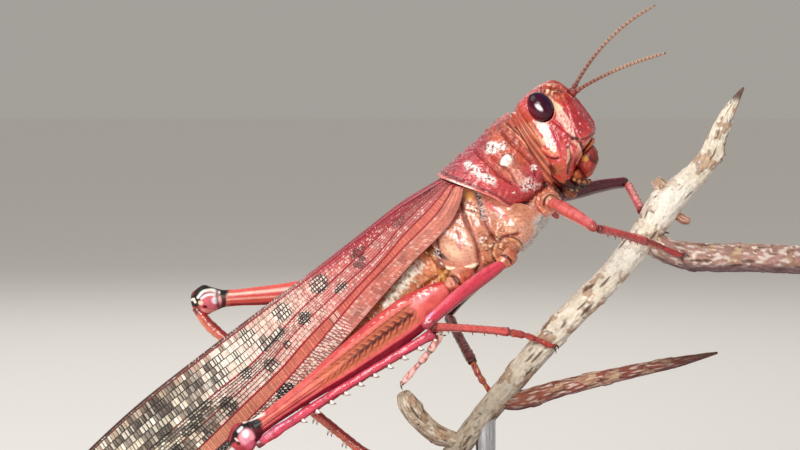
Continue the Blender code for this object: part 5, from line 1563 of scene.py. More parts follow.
for word, side in SIDES.items():
    cells, veins = forewing(side)
    make_cluster("forewing_" + word + "_cells", mirror_parts(cells, side), wing_leather,
                 ("forewing_" + word,))
    make_cluster("forewing_" + word + "_veins", mirror_parts(veins, side), vein_leather)
    stations = np.linspace(0.36, WING_TIP_X + 0.02, 260)
    shares = np.linspace(0.004, 0.996, 60)
    outer = wing_surface(stations[:, None], shares[None], 0.14)
    inner = wing_surface(stations[:, None], shares[None], 0.42)[:, ::-1]
    sheet = np.concatenate((outer, inner), 1)
    coat = np.array([[wing_ground(a, b, "anal") for b in shares[::6]] for a in stations])
    coat = np.repeat(coat, 6, 1) * 0.82
    coat = np.concatenate((coat, coat[:, ::-1]), 1)
    sheet = sheet * (1, side, 1)
    make_shell("forewing_" + word + "_sheet", sheet, coat, 0.4, wing_leather,
               domes=(0.0, 0.0))
    print("forewing", word, "has", len(cells), "cells and", len(veins), "veins")

# %% [markdown]
# ## The folded hindwings
#
# Under the forewings the hindwings lie pleated like a fan. Little of them shows: an edge from below and
# behind. A pleated sheet with rounded folds says what they are without the cost of their thousand cells.

# %% Hindwings
for word, side in SIDES.items():
    stations = np.linspace(-3.6, -50.0, 160)
    shares = np.linspace(0.12, 0.72, 90)
    pleats = 0.11 * np.sin(np.linspace(0, math.tau * 13, 90))[None] * ramp(-3, -6, stations)[:, None]
    outer = wing_surface(stations[:, None], shares[None], 0.72 + pleats)
    inner = wing_surface(stations[:, None], shares[None], 0.94 + pleats)[:, ::-1]
    sheet = np.concatenate((outer, inner), 1) * (1, side, 1)
    coat = wash(sheet.shape[:2], (226, 206, 172))
    stripe = np.concatenate((pleats, pleats[:, ::-1]), 1)
    # Painted shade: darker stripes in the valleys of the pleats.
    paint(coat, (
        (ramp(0.03, 0.1, stripe), (196, 150, 110), 0.7),
        (ramp(-8, -3, sheet[..., 0]), (214, 130, 110), 0.6),
    ))
    make_shell("hindwing_" + word + "_fan", sheet, coat, 0.8, fan_membrane, ("hindwing_" + word,),
               domes=(0.0, 0.0))
print("two folded fans of 13 pleats")

# %% [markdown]
# ## Walking legs
#
# Each walking leg is a chain: a knobbly hip, a stout thigh, a thin shin with two rows of small thorns, and
# a foot of three joints with pale pads, two hooked claws and a round pad between them. The joints are
# where a leg looks alive, so every joint gets its swelling, its dark seam and its own small painted
# highlight. Hip, thigh, shin and foot are painted lighter on top, and thigh and shin darker below, as
# painted light and shade. The near legs are rose in the light; those behind the body are painted deeper,
# as painted shade.

# %% Walking legs
UPWARD = np.array((0.0, 0.0, 1.0))
WALKING_LEGS = {
    # leg: (hip socket, end of the hip, knee, ankle, bend of the foot, toe)
    "fore_right": ((7.6, -2.2, -2.4), (7.87, -3.3, -2.95), (9.84, -10.3, -7.13), (12.73, -5.0, -11.38),
                   (13.57, -2.6, -12.97), (14.54, -1.8, -14.8)),
    "fore_left": ((7.7, 2.2, -2.4), (8.9, 3.3, -3.3), (14.82, 8.85, -6.32), (14.26, 2.5, -9.3),
                  (14.32, 2.2, -10.4), (14.45, 2.0, -12.1)),
    "mid_right": ((1.6, -2.4, -4.2), (0.37, -3.5, -4.65), (-9.2, -6.9, -4.6), (-3.5, -2.0, -10.33),
                  (-2.2, -1.9, -11.87), (-0.96, -1.75, -14.12)),
    "mid_left": ((1.6, 2.4, -4.2), (0.37, 3.5, -4.65), (-8.23, 9.3, -5.63), (-8.54, 2.2, -10.76),
                 (-8.85, 1.85, -12.4), (-8.98, 1.7, -14.84)),
}
# The left legs stand behind the body: their hips and thighs, and the mid shin, get deeper tones as painted
# shade.
LEG_COLOURS = {
    # leg: hip, thigh, shin, foot
    "fore_right": (shade(206, 128, 104), shade(220, 100, 92), shade(216, 92, 96), shade(176, 62, 60)),
    "fore_left": (shade(140, 40, 62), shade(128, 22, 58), shade(222, 92, 96), shade(214, 140, 84)),
    "mid_right": (shade(212, 132, 104), shade(224, 84, 108), shade(232, 116, 112), shade(180, 70, 60)),
    "mid_left": (shade(90, 24, 40), shade(100, 20, 34), shade(112, 22, 30), shade(188, 112, 62)),
}


def toward(start, end, distance):
    """The point a distance from start on the way to end."""
    start, end = np.array(start, float), np.array(end, float)
    return start + (end - start) / np.linalg.norm(end - start) * distance


def thorn(root, outward, along, length, radius, tone, tip_tone, columns=8):
    """A small curved spine that leans along the shin, with a coloured tip."""
    root, outward, along = (np.array(part, float) for part in (root, outward, along))
    route = [root - outward * radius, root + outward * length * 0.45 + along * length * 0.12,
             root + outward * length * 0.86 + along * length * 0.42]
    half = profile((0, radius), (0.25, radius * 0.95), (0.7, radius * 0.5), (1, radius * 0.1))
    side = np.cross(outward, along)
    grid, share, up, aside = tube(route, 12, half, half, upward=side, columns=columns)
    coat = wash(share.shape, tone)
    lay(coat, ramp(0.62, 0.86, share), tip_tone)
    return as_part(grid, coat, 0.9, (0.02, 0.02))


def claws(end, heading, spread, size, tone):
    """Two hooked claws and the round pad between them, at the end of a foot."""
    end, heading, spread = (np.array(part, float) for part in (end, heading, spread))
    heading /= np.linalg.norm(heading)
    spread = spread - heading * (spread @ heading)
    spread /= np.linalg.norm(spread)
    down = np.cross(spread, heading)
    if (down @ UPWARD) > 0:
        down = -down
    parts = []
    for side in (-1, 1):
        route = [end - heading * 0.1, end + heading * size * 0.45 + spread * side * size * 0.45 - down * 0.1,
                 end + heading * size * 0.95 + spread * side * size * 0.75 + down * size * 0.15,
                 end + heading * size * 1.1 + spread * side * size * 0.8 + down * size * 0.6]
        half = profile((0, 0.14), (0.4, 0.12), (1, 0.02))
        grid, share, up, across = tube(route, 22, half, half, upward=(0.3, 0.2, 1), columns=12)
        coat = wash(share.shape, tone)
        lay(coat, ramp(0.4, 0.75, share), (30, 12, 12))
        parts.append(as_part(grid, coat, 1.0, (0.02, 0.02)))
    grid, unit = oval(end + heading * size * 0.4, (0.24, 0.24, 0.2), rows=12, columns=18)
    parts.append(as_part(grid, shade(96, 58, 50), 0.3, (0.01, 0.01)))
    return parts


def foot(ankle, bend, toe, tone, spread, reach=0.62):
    """Three joints with pads beneath, then the claws."""
    route = [toward(ankle, bend, 0.02), bend, toe]
    radii = profile((0, 0.27), (0.12, 0.36), (0.3, 0.33), (0.36, 0.25), (0.42, 0.31), (0.55, 0.29),
                    (0.6, 0.22), (0.7, 0.25), (0.92, 0.31), (1, 0.24))
    grid, share, up, aside = tube(route, 110, radii, profile((0, 0.27), (0.5, 0.3), (1, 0.27)),
                                  upward=(0.5, 0, 1), columns=24)
    pads = np.maximum(-up, 0) ** 2 * np.sin(share * math.pi * 5) ** 2 * ramp(0.62, 0.5, share)
    grid = raised(grid, 0.08 * pads + 0.02 * grain(grid, 0.5, 3))
    coat = wash(share.shape, tone)
    lay(coat, pads, (216, 168, 128), 0.7)
    for seam in (0.33, 0.585):
        lay(coat, ramp(0.035, 0.008, np.abs(share - seam)), tone * 0.25, 0.9)
    paint(coat, (
        # Painted highlight: the top of the foot lighter.
        (ramp(0.3, 0.9, up), blend(tone, shade(250, 190, 176), 0.4), 0.6),
        (ramp(0.4, 0.9, grain(grid, 0.7, 23)), (176, 40, 60), 0.6),
    ))
    return grid, coat, claws(toe, np.array(toe, float) - np.array(bend, float), spread, reach, tone * 0.6)


def hip_joint(name, socket, end, radius, tone):
    """The hip and the small ring after it: a barrel with a seam."""
    reach = np.linalg.norm(np.array(end, float) - np.array(socket, float))
    route = [toward(socket, end, share * reach) for share in (0.0, 0.35, 0.72, 1.08)]
    half = profile((0, radius * 0.75), (0.3, radius * 1.02), (0.58, radius * 0.96), (0.68, radius * 0.7),
                   (0.8, radius * 0.76), (1, radius * 0.55))
    grid, share, up, aside = tube(route, 70, half, half, upward=(0.4, 0, 1), columns=40)
    seam = bell(share, 0.67, 0.035)
    lump = 0.06 * grain(grid, 0.9, 5)
    grid = raised(grid, lump - 0.12 * seam)
    coat = wash(share.shape, tone)
    paint(coat, (
        (ramp(-0.2, 0.7, grain(grid, 0.8, 8)), tone * 0.6, 0.6),
        # Painted highlight: the top of the hip lighter.
        (ramp(0.3, 0.9, up), blend(tone, shade(252, 226, 200), 0.5), 0.6),
        (seam, (70, 24, 24), 0.9),
    ))
    make_shell("coxa_" + name + "_barrel", grid, coat, 0.8, leg_cuticle, ("coxa_" + name,),
               domes=(0.1, 0.2))


leg_extras, downy = [], []
for name, (socket, hip, knee, ankle, bend, toe) in WALKING_LEGS.items():
    hip_tone, thigh_tone, shin_tone, foot_tone = LEG_COLOURS[name]
    hip_joint(name, socket, hip, 0.95, hip_tone)
    hip, knee, ankle = (np.array(point, float) for point in (hip, knee, ankle))
    thigh = knee - hip
    start, stop = toward(hip, knee, 0.1), toward(knee, hip, 0.15)
    route = bowed(start, stop, UPWARD * 0.25, 7)
    tall = profile((0, 0.5), (0.1, 0.66), (0.3, 0.74), (0.6, 0.68), (0.86, 0.58), (0.95, 0.58), (1, 0.46))
    thick = profile((0, 0.5), (0.3, 0.64), (0.6, 0.6), (0.86, 0.52), (0.95, 0.52), (1, 0.42))
    grid, share, up, aside = tube(route, 130, tall, thick, columns=44, power=2.3)
    corner = np.minimum(np.abs(up), np.abs(aside))
    keel = ramp(0.6, 0.8, corner)
    grid = raised(grid, 0.04 * keel + 0.01 * grain(grid, 2.5, 4) - 0.02 * bell(share, 0.92, 0.012))
    coat = wash(share.shape, thigh_tone)
    paint(coat, (
        # Painted light and shade: the top of the thigh lighter, the underside darker.
        (ramp(0.35, 0.9, up), blend(thigh_tone, shade(255, 180, 190), 0.45), 0.7),
        (ramp(0.0, -0.8, up), thigh_tone * (0.5, 0.2, 0.4), 0.85),
        (stroke(((0.1, 0.2), (0.5, 0.05), (0.85, 0.15)), share, up, 0.05) * (aside < 0), thigh_tone * 0.5,
         0.6),
        (ramp(-0.3, 0.8, grain(grid, 1.1, 14)), thigh_tone * 0.72, 0.5),
        (ramp(0.94, 0.99, share), thigh_tone * 0.5, 0.6),
        (bell(share, 0.92, 0.012) * ramp(0.2, -0.3, up), (74, 16, 30), 0.6),
    ))
    # Painted highlights: a lilac white glint at the knee end, strongest on the near mid leg.
    knee_highlight = 1.0 if name == "mid_right" else 0.3
    paint(coat, (
        (spot(share, up, (0.95, 0.35), (0.035, 0.4)) * ramp(0.0, 0.5, grain(grid, 0.4, 16) + 0.3)
         * (aside < 0.3), (255, 236, 244), 0.95 * knee_highlight),
        (spot(share, up, (0.9, 0.75), (0.05, 0.25)) * (aside < 0.3), (236, 190, 236), 0.7 * knee_highlight),
    ))
    thigh_skin = grid
    make_shell("femur_" + name + "_shaft", grid, coat, 0.4 if "left" in name else 0.75, leg_cuticle,
               ("femur_" + name,), domes=(0.15, 0.3))

    shin = ankle - knee
    fold = max(-(thigh @ shin) / np.linalg.norm(thigh) / np.linalg.norm(shin), 0)
    start, stop = toward(knee, ankle, 0.35 + 0.75 * fold), toward(ankle, knee, 0.02)
    route = bowed(start, stop, UPWARD * 0.12, 6)
    swell = 1.25 if name == "mid_left" else 1.0
    radii = profile((0, 0.36 * swell), (0.08, 0.44 * swell), (0.2, 0.4 * swell), (0.6, 0.38 * swell),
                    (0.9, 0.42 * swell), (1, 0.46))
    grid, share, up, aside = tube(route, 110, radii, radii, upward=(0.5, 0, 1), columns=30, power=2.2)
    grid = raised(grid, 0.02 * grain(grid, 0.6, 6))
    coat = wash(share.shape, shin_tone)
    paint(coat, (
        # Painted light and shade: the top of the shin lighter, the underside darker.
        (ramp(0.3, 0.9, up), blend(shin_tone, shade(255, 196, 190), 0.5), 0.7),
        (ramp(-0.2, -0.9, up), shin_tone * 0.5, 0.7),
        (ramp(-0.3, 0.8, grain(grid, 0.9, 15)), shin_tone * 0.7, 0.5),
        (ramp(0.06, 0.02, share) + ramp(0.95, 0.99, share), (84, 20, 30), 0.7),
    ))
    shin_skin = grid
    make_shell("tibia_" + name + "_shaft", grid, coat, 0.4 if "left" in name else 0.7, leg_cuticle,
               ("tibia_" + name,), domes=(0.12, 0.12))
    along = shin / np.linalg.norm(shin)
    side = np.cross(along, UPWARD)
    side /= np.linalg.norm(side)
    lower = np.cross(side, along)
    lower = lower if lower @ UPWARD < 0 else -lower
    length = np.linalg.norm(stop - start)
    for number in range(5):
        at = start + along * length * (0.22 + 0.16 * number) + UPWARD * 0.08
        for turn in (-1, 1):
            outward = lower * 0.8 + side * turn * 0.6
            leg_extras.append(thorn(at + outward * 0.3, outward, along, 0.42, 0.075, shade(150, 44, 48),
                                    shade(30, 10, 14)))
    downy += [thigh_skin, shin_skin]

    grid, coat, hooks = foot(toward(ankle, bend, 0.08), bend, toe, foot_tone, side)
    make_shell("tarsus_" + name + "_joints", grid, coat, 0.6, leg_cuticle, ("tarsus_" + name,),
               domes=(0.1, 0.12))
    leg_extras += hooks
make_cluster("walking_leg_spines_and_claws", leg_extras, claw_horn)
print("four walking legs,", len(leg_extras), "spines, claws and pads")

# %% [markdown]
# ## Jumping legs
#
# The thigh of the jumping leg is a slab of muscle between two keels. Over the muscle the cuticle is
# stamped with a herringbone: slanting ribs that meet at a zigzag midline, where the fibres hold on
# inside. Behind it the thigh narrows to a neck and swells into the knee with its black half moon. The
# herringbone is modelled, as ribs and grooves a twentieth of a millimetre high, and painted with the same
# rule, so that the dark midline always lies in its groove.

# %% Jumping legs
THIGH_ROWS, THIGH_COLUMNS = 460, 120
HIND_HIP = (-5.5, 4.35, -3.2)
HIND_DEPTH = profile((0, 0.9), (0.06, 1.4), (0.15, 1.85), (0.27, 1.9), (0.4, 1.7), (0.52, 1.4), (0.64, 1.05),
                     (0.76, 0.85), (0.87, 0.8), (0.93, 1.3), (0.96, 1.58), (1.0, 1.0))
HIND_THICK = profile((0, 0.75), (0.1, 1.15), (0.25, 1.25), (0.5, 1.0), (0.75, 0.75), (0.88, 0.7),
                     (0.96, 1.05), (1.0, 0.7))
KNEE_REACH = 1.4
SPINE_PAIRS = 9
JUMPING_LEGS = {
    # leg: knee, bow of the thigh, shin from knee to ankle, foot, which way the spines point
    "right": ((-29.95, -5.4, -2.25), (0.0, -0.25, 0.0),
              ((-29.6, -5.4, -3.7), (-27.3, -5.35, -3.8), (-18.7, -5.3, -4.6), (-8.9, -4.8, -5.8)),
              ((-8.6, -4.75, -6.3), (-10.8, -4.4, -6.95), (-14.5, -4.0, -7.75)), (0.0, 0.0, -1.0)),
    "left": ((-26.8, 7.7, 10.95), (0.0, 0.75, 0.0),
             ((-28.3, 7.6, 11.0), (-28.2, 7.3, 8.6), (-25.6, 5.6, -2.3), (-23.1, 4.25, -12.2)),
             ((-23.0, 4.1, -12.9), (-22.6, 3.2, -14.6), (-21.6, 1.65, -17.8)), (-1.0, 0.0, 0.0)),
}
RIB_STEP = 0.029
PITCH_COS, PITCH_SIN = 0.7837, 0.6211
KNEE_CENTRES = {"right": (-29.6, -2.2), "left": (-26.5, 10.66)}
KNEE_GLINT, INK = shade(244, 246, 255), shade(12, 6, 10)
# In both knees the silver strokes and the small white spots on the lobe are painted glints.
KNEE_MARKS = {
    # places in millimetres across and up from the middle of the knee, half width, colour, strength
    "right": (
        (((1.2, -0.1), (1.1, -0.7)), 0.34, shade(116, 14, 50), 0.9),
        (((0.85, 0.7), (1.15, 0.3)), 0.4, shade(96, 12, 44), 0.9),
        (((-1.5, -0.5), (-1.2, 0.1), (-0.35, 0.75), (0.55, 1.0), (1.0, 1.0)), 0.44, INK, 0.98),
        (((-1.75, -0.6), (-1.5, 0.2), (-0.6, 1.1), (0.6, 1.45)), 0.13, shade(190, 80, 90), 0.8),
        (((-0.85, 0.3), (-0.55, 0.6)), 0.16, KNEE_GLINT, 0.9),
        (((-0.4, 1.12), (0.5, 1.45), (1.65, 1.95)), 0.15, shade(255, 252, 246), 0.95),
        (((0.0, -0.3),), (0.78, 0.85), shade(246, 178, 194), 0.95),
        (((-0.1, 0.05),), (0.35, 0.4), shade(255, 246, 250), 0.95),
        (((0.85, 0.3), (0.95, -0.4), (0.6, -1.0)), 0.16, shade(120, 20, 56), 0.9),
        (((0.5, -0.9), (0.1, -1.3)), 0.3, shade(226, 120, 150), 0.9),
        (((-1.15, -0.45), (-0.8, -0.75)), 0.1, shade(255, 236, 230), 0.9),
        (((-0.85, -0.9),), (0.22, 0.2), shade(90, 16, 30), 0.9),
    ),
    "left": (
        (((1.35, 0.6), (1.4, -0.1), (1.1, -0.9)), 0.24, shade(60, 16, 26), 0.9),
        (((-1.6, -0.2), (-1.35, 0.7), (-0.6, 1.35), (0.5, 1.5), (1.3, 0.95)), 0.5, INK, 0.97),
        (((-1.3, 0.35), (-0.75, 0.95), (0.1, 1.1), (0.85, 0.85)), 0.15, shade(255, 252, 248), 0.97),
        (((-0.9, 0.25), (-0.3, 0.62), (0.45, 0.66)), 0.14, KNEE_GLINT, 0.95),
        (((0.1, -0.25),), (1.0, 0.65), shade(228, 132, 150), 0.9),
        (((0.55, 0.05),), (0.42, 0.38), shade(255, 244, 250), 0.95),
        (((-1.0, -0.2),), (0.28, 0.24), shade(250, 232, 206), 0.9),
        (((-0.55, -0.6),), (0.24, 0.16), shade(120, 14, 30), 0.95),
        (((-0.9, -1.0), (0.2, -1.15)), 0.2, shade(246, 180, 180), 0.85),
        (((-1.75, 0.15), (-1.6, -0.15)), 0.14, shade(255, 250, 240), 0.95),
    ),
}


def knee_place(grid, centre):
    """How far across and up from the middle of a knee, as the model stands."""
    dx, dz = grid[..., 0] - centre[0], grid[..., 2] - centre[1]
    return dx * PITCH_COS - dz * PITCH_SIN, dx * PITCH_SIN + dz * PITCH_COS


def thigh_shape(hip, end, bow, side):
    """The jumping thigh: keels, herringbone on its outer face, neck and knee."""
    route = bowed(hip, end, bow, 15)
    grid, share, up, aside = tube(route, THIGH_ROWS, HIND_DEPTH, HIND_THICK, columns=THIGH_COLUMNS,
                                  power=1.85)
    outer = ramp(0.1, 0.35, aside * side)
    inner = ramp(0.1, 0.35, -aside * side)
    height = 0.9 * up
    zigzag = 0.09 * (2 * np.abs(share / RIB_STEP % 1 - 0.5) - 0.5)
    middle = 0.02 + 0.04 * np.sin(share * 5) + zigzag
    from_middle = np.abs(height - middle)
    rib = np.cos(((share - 0.020 * from_middle / 0.5 * 2.4) / RIB_STEP) * math.tau)
    field = ramp(0.13, 0.17, share) * ramp(0.64, 0.54, share) * ramp(0.5, 0.42, from_middle)
    midline = bell(from_middle, 0, 0.085) * field
    keels = bell(height, 0.62, 0.07) + bell(height, -0.58, 0.07)
    keels = keels * ramp(0.05, 0.1, share) * ramp(0.9, 0.84, share)
    crest = ramp(0.9, 1.0, np.abs(up)) * ramp(0.9, 0.86, share)
    dent = field * ramp(0.5, 0.3, from_middle)
    collar = bell(share, 0.905, 0.006)
    lift = (0.055 * rib * field * ramp(0.02, 0.1, from_middle) - 0.03 * midline + 0.13 * keels - 0.07 * dent
            + 0.1 * crest - 0.1 * collar + 0.03 * grain(grid, 1.4, 17))
    lift = lift * np.maximum(outer, 0.55 * inner) + 0.1 * crest * (1 - outer)
    shaped = raised(grid, lift)
    return shaped, share, height, outer, inner, rib, field, midline, from_middle, collar


for word, (knee, bow, shin, toes, outward) in JUMPING_LEGS.items():
    side = SIDES[word]
    hip = np.array(HIND_HIP) * (1, side, 1)
    end = toward(knee, hip, -KNEE_REACH)
    hip_end = toward(hip, knee, -0.4)
    # The hip of the far leg is painted deeper, as painted shade.
    hip_tone = shade(214, 128, 104) if side < 0 else shade(160, 60, 66)
    hip_joint("hind_" + word, hip_end + (2.4, -side * 1.3, 0.1), hip_end, 1.1, hip_tone)
    shape = thigh_shape(hip, end, np.array(bow), side)
    grid, share, height, outer, inner, rib, field, midline, from_middle, collar = shape
    rose = shade(232, 130, 124) if side < 0 else shade(228, 112, 106)
    coat = wash(share.shape, rose)
    if side < 0:
        paint(coat, (
            (ramp(-0.5, 0.9, grain(grid, 1.6, 21)), (212, 86, 92), 0.5),
            # Painted shade: the lower face of the thigh deep crimson, darkest at the bottom.
            (ramp(-0.42, -0.6, height) * ramp(0.95, 0.88, share), (162, 22, 66), 0.95),
            (ramp(-0.7, -0.95, height), (96, 16, 44), 0.8),
            (ramp(0.66, 0.8, height) * ramp(0.7, 0.4, share), (206, 62, 70), 0.7),
            (field, (196, 116, 88), 0.95),
            (field * ramp(0.25, 0.45, from_middle), (214, 136, 106), 0.7),
        ))
        near_middle = field * ramp(0.34, 0.12, from_middle)
        paint(coat, (
            (near_middle * ramp(-0.1, 0.9, rib), (222, 148, 114), 0.6),
            (near_middle * ramp(0.1, -0.7, rib), (128, 46, 36), 0.85),
            (midline, (92, 20, 20), 0.97),
            (outer * spot(share, height, (0.57, 0.1), (0.1, 0.2)), (226, 126, 96), 0.7),
            (outer * stroke(((0.56, 0.12), (0.7, 0.12), (0.87, 0.1)), share, height, 0.12, 0.8),
             (236, 158, 138), 0.7),
        ))
        for low, high in ((-0.05, 0.0), (0.4, 0.35)):
            lay(coat, outer * stroke(((0.6, low), (0.75, (low + high) / 2), (0.9, high)), share, height,
                                     0.035, 0.6), (150, 34, 40), 0.75)
        paint(coat, (
            (outer * stroke(((0.66, -0.32), (0.8, -0.3), (0.92, -0.34)), share, height, 0.06, 0.6),
             (120, 20, 50), 0.85),
            (outer * stroke(((0.07, 0.62), (0.3, 0.58), (0.55, 0.6)), share, height, 0.07, 0.6),
             (236, 140, 132), 0.7),
            # Painted glints along the upper keel.
            (outer * stroke(((0.03, 0.76), (0.3, 0.74), (0.52, 0.74)), share, height, 0.04, 0.6)
             * ramp(0.1, 0.5, grain(grid, 0.5, 33)) * ramp(0.6, 0.2, share), (255, 236, 228), 0.85),
            (outer * stroke(((0.1, 0.47), (0.3, 0.46), (0.5, 0.46)), share, height, 0.03, 0.6),
             (128, 30, 40), 0.75),
            (outer * bell(height, -0.5, 0.05) * ramp(0.1, 0.15, share) * ramp(0.7, 0.5, share),
             (236, 120, 120), 0.85),
        ))
        # Painted highlights at the base of the thigh: a lilac patch and white glints.
        sparks = ramp(-0.1, 0.3, grain(grid, 0.45, 34))
        paint(coat, (
            (outer * spot(share, height, (0.08, 0.45), (0.05, 0.2), soft=0.6), (246, 170, 180), 0.6),
            (outer * spot(share, height, (0.07, 0.55), (0.05, 0.13), soft=0.6) * sparks, (255, 246, 246),
             0.9),
            (outer * spot(share, height, (0.19, 0.7), (0.05, 0.07), soft=0.7) * sparks, (255, 240, 236),
             0.8),
        ))
    else:
        paint(coat, (
            (bell(height, 0.5, 0.13) * ramp(0.92, 0.86, share), (255, 232, 220), 0.85),
            (bell(height, -0.1, 0.1) * ramp(0.92, 0.86, share), (252, 214, 200), 0.75),
            (bell(height, 0.2, 0.07) * ramp(0.92, 0.86, share), (190, 48, 50), 0.8),
            # Painted shade: the underside of the far thigh darker near the knee.
            (ramp(-0.4, -0.7, height) * ramp(0.92, 0.88, share), (176, 40, 46), 0.9),
            (ramp(0.85, 0.9, share) * ramp(0.95, 0.92, share), (250, 220, 205), 0.6),
        ))
    across, rise = knee_place(grid, KNEE_CENTRES[word])
    lay(coat, ramp(0.9, 0.93, share), shade(200, 84, 104) if side < 0 else shade(214, 118, 112), 0.8)
    for marks, width, tone, strength in KNEE_MARKS[word]:
        if len(marks) == 1:
            amount = spot(across, rise, marks[0], width, soft=0.3)
        else:
            amount = stroke(marks, across, rise, width, 0.4)
        lay(coat, amount * ramp(0.8, 0.86, share), tone, strength)
    paint(coat, (
        (collar, (80, 18, 32), 0.7),
        (inner * field, (196, 70, 70), 0.5),
    ))
    make_shell("femur_hind_" + word + "_thigh", grid, coat, 0.6 - 0.45 * field, thigh_cuticle,
               ("femur_hind_" + word,), domes=(0.2, 0.35))

    shin = np.array(shin, float)
    route = np.concatenate((shin[:1], (shin[:1] * 0.55 + shin[1:2] * 0.45), shin[1:]))
    stout = 1.0 if side < 0 else 1.12
    radii = profile((0, 0.4), (0.05, 0.46 * stout), (0.11, 0.54 * stout), (0.16, 0.49 * stout), (0.85, 0.47),
                    (0.94, 0.5), (0.99, 0.62), (1, 0.5))
    outward = np.array(outward)
    sideways = (0, 1, 0.2) if side > 0 else (0.2, 0, 1)
    grid, share, up, aside = tube(route, 330, radii, radii, upward=sideways, columns=36, power=2.2)
    edges = ramp(0.55, 0.75, np.minimum(abs(up), abs(aside)))
    grid = raised(grid, 0.02 * grain(grid, 0.8, 9) + 0.03 * edges)
    tone = shade(226, 84, 116) if side < 0 else shade(220, 124, 112)
    coat = wash(share.shape, tone)
    lay(coat, ramp(-0.3, 0.9, grain(grid, 1.2, 19)), tone * 0.72, 0.6)
    if side < 0:
        paint(coat, (
            # Painted light and shade on the near shin: a lilac and pink top, a dark underside.
            (ramp(0.0, 0.8, up) * ramp(0.3, 0.1, share), (226, 150, 200), 0.6),
            (ramp(0.5, 0.95, up), (250, 140, 160), 0.5),
            (ramp(-0.1, -0.7, up) * ramp(0.15, 0.4, share), (158, 30, 60), 0.85),
        ))
    else:
        paint(coat, (
            # Painted light and shade on the far shin: one side lit orange, the other dark.
            (ramp(0.0, 0.8, -aside), (250, 170, 120), 0.5),
            (ramp(0.0, -0.8, -aside), (160, 40, 44), 0.8),
        ))
    paint(coat, (
        (ramp(0.035, 0.02, share) + ramp(0.982, 0.99, share), (90, 20, 36), 0.7),
        # A painted highlight near the top of the shin.
        (spot(share, up, (0.07, 0.2), (0.02, 0.6)), (244, 160, 176), 0.7),
    ))
    make_shell("tibia_hind_" + word + "_shaft", grid, coat, 0.85, leg_cuticle, ("tibia_hind_" + word,),
               domes=(0.15, 0.2))
    line = curve(route, 200)
    reach = np.concatenate(([0], np.cumsum(np.linalg.norm(np.diff(line, axis=0), axis=1))))
    bend_at = reach[np.argmin(np.linalg.norm(line - shin[1], axis=1))]
    step = (reach[-1] - bend_at) / (SPINE_PAIRS + 2)
    spines = []
    for number in range(SPINE_PAIRS + 1):
        at = bend_at + step * (number + 1.45)
        i = min(np.searchsorted(reach, at), 198)
        along = (line[i + 1] - line[i]) / np.linalg.norm(line[i + 1] - line[i])
        across = np.cross(along, outward)
        across /= np.linalg.norm(across)
        for row in (-1, 1):
            lean = outward * 0.86 + across * row * 0.5
            shift = along * (0.28 if row * side > 0 else 0)
            spines.append(thorn(line[i] + shift + lean * 0.4, lean, along, 0.8, 0.19, shade(255, 250, 246),
                                shade(120, 70, 64), 12))
            grid, unit = oval(line[i] + shift + lean * 0.42, (0.2, 0.2, 0.2), rows=8, columns=12)
            spines.append(as_part(grid, shade(120, 26, 44), 0.8, (0.01, 0.01)))
    ankle, heading = line[-1], (line[-1] - line[-4]) / np.linalg.norm(line[-1] - line[-4])
    for turn in (0.4, 1.1, 2.0, 2.7):
        sideways = np.cross(heading, outward)
        away = sideways * math.cos(turn) + outward * math.sin(turn)
        spines.append(thorn(ankle + away * 0.42, away * 0.5 + heading * 0.2, heading, 1.1, 0.12,
                            shade(248, 226, 214), shade(40, 14, 18), 12))
    make_cluster("tibia_hind_" + word + "_spines", spines, claw_horn)
    downy += [shape[0], grid]
    # The foot of the far leg is painted deeper, as painted shade.
    tone = shade(250, 206, 202) if side < 0 else shade(170, 54, 56)
    grid, coat, hooks = foot(*toes, tone, (0.2, 1, 0.3) if side < 0 else (0.5, 0.3, 0.3), 0.55)
    make_shell("tarsus_hind_" + word + "_joints", grid, coat, 0.6, leg_cuticle, ("tarsus_hind_" + word,),
               domes=(0.1, 0.12))
    make_cluster("tarsus_hind_" + word + "_claws", hooks, claw_horn)
    print("jumping leg", word, "with", len(spines), "spines and spine rings")

# %% [markdown]
# ## The cut twig
#
# The twig is weathered wood, pale at the fork and darker and greyer below. Bark is made of long fibres
# that split into lenses, with knots and flakes between them, so the relief is a noise drawn out along the
# twig. The paint follows the same field, which puts the dark in the cracks.

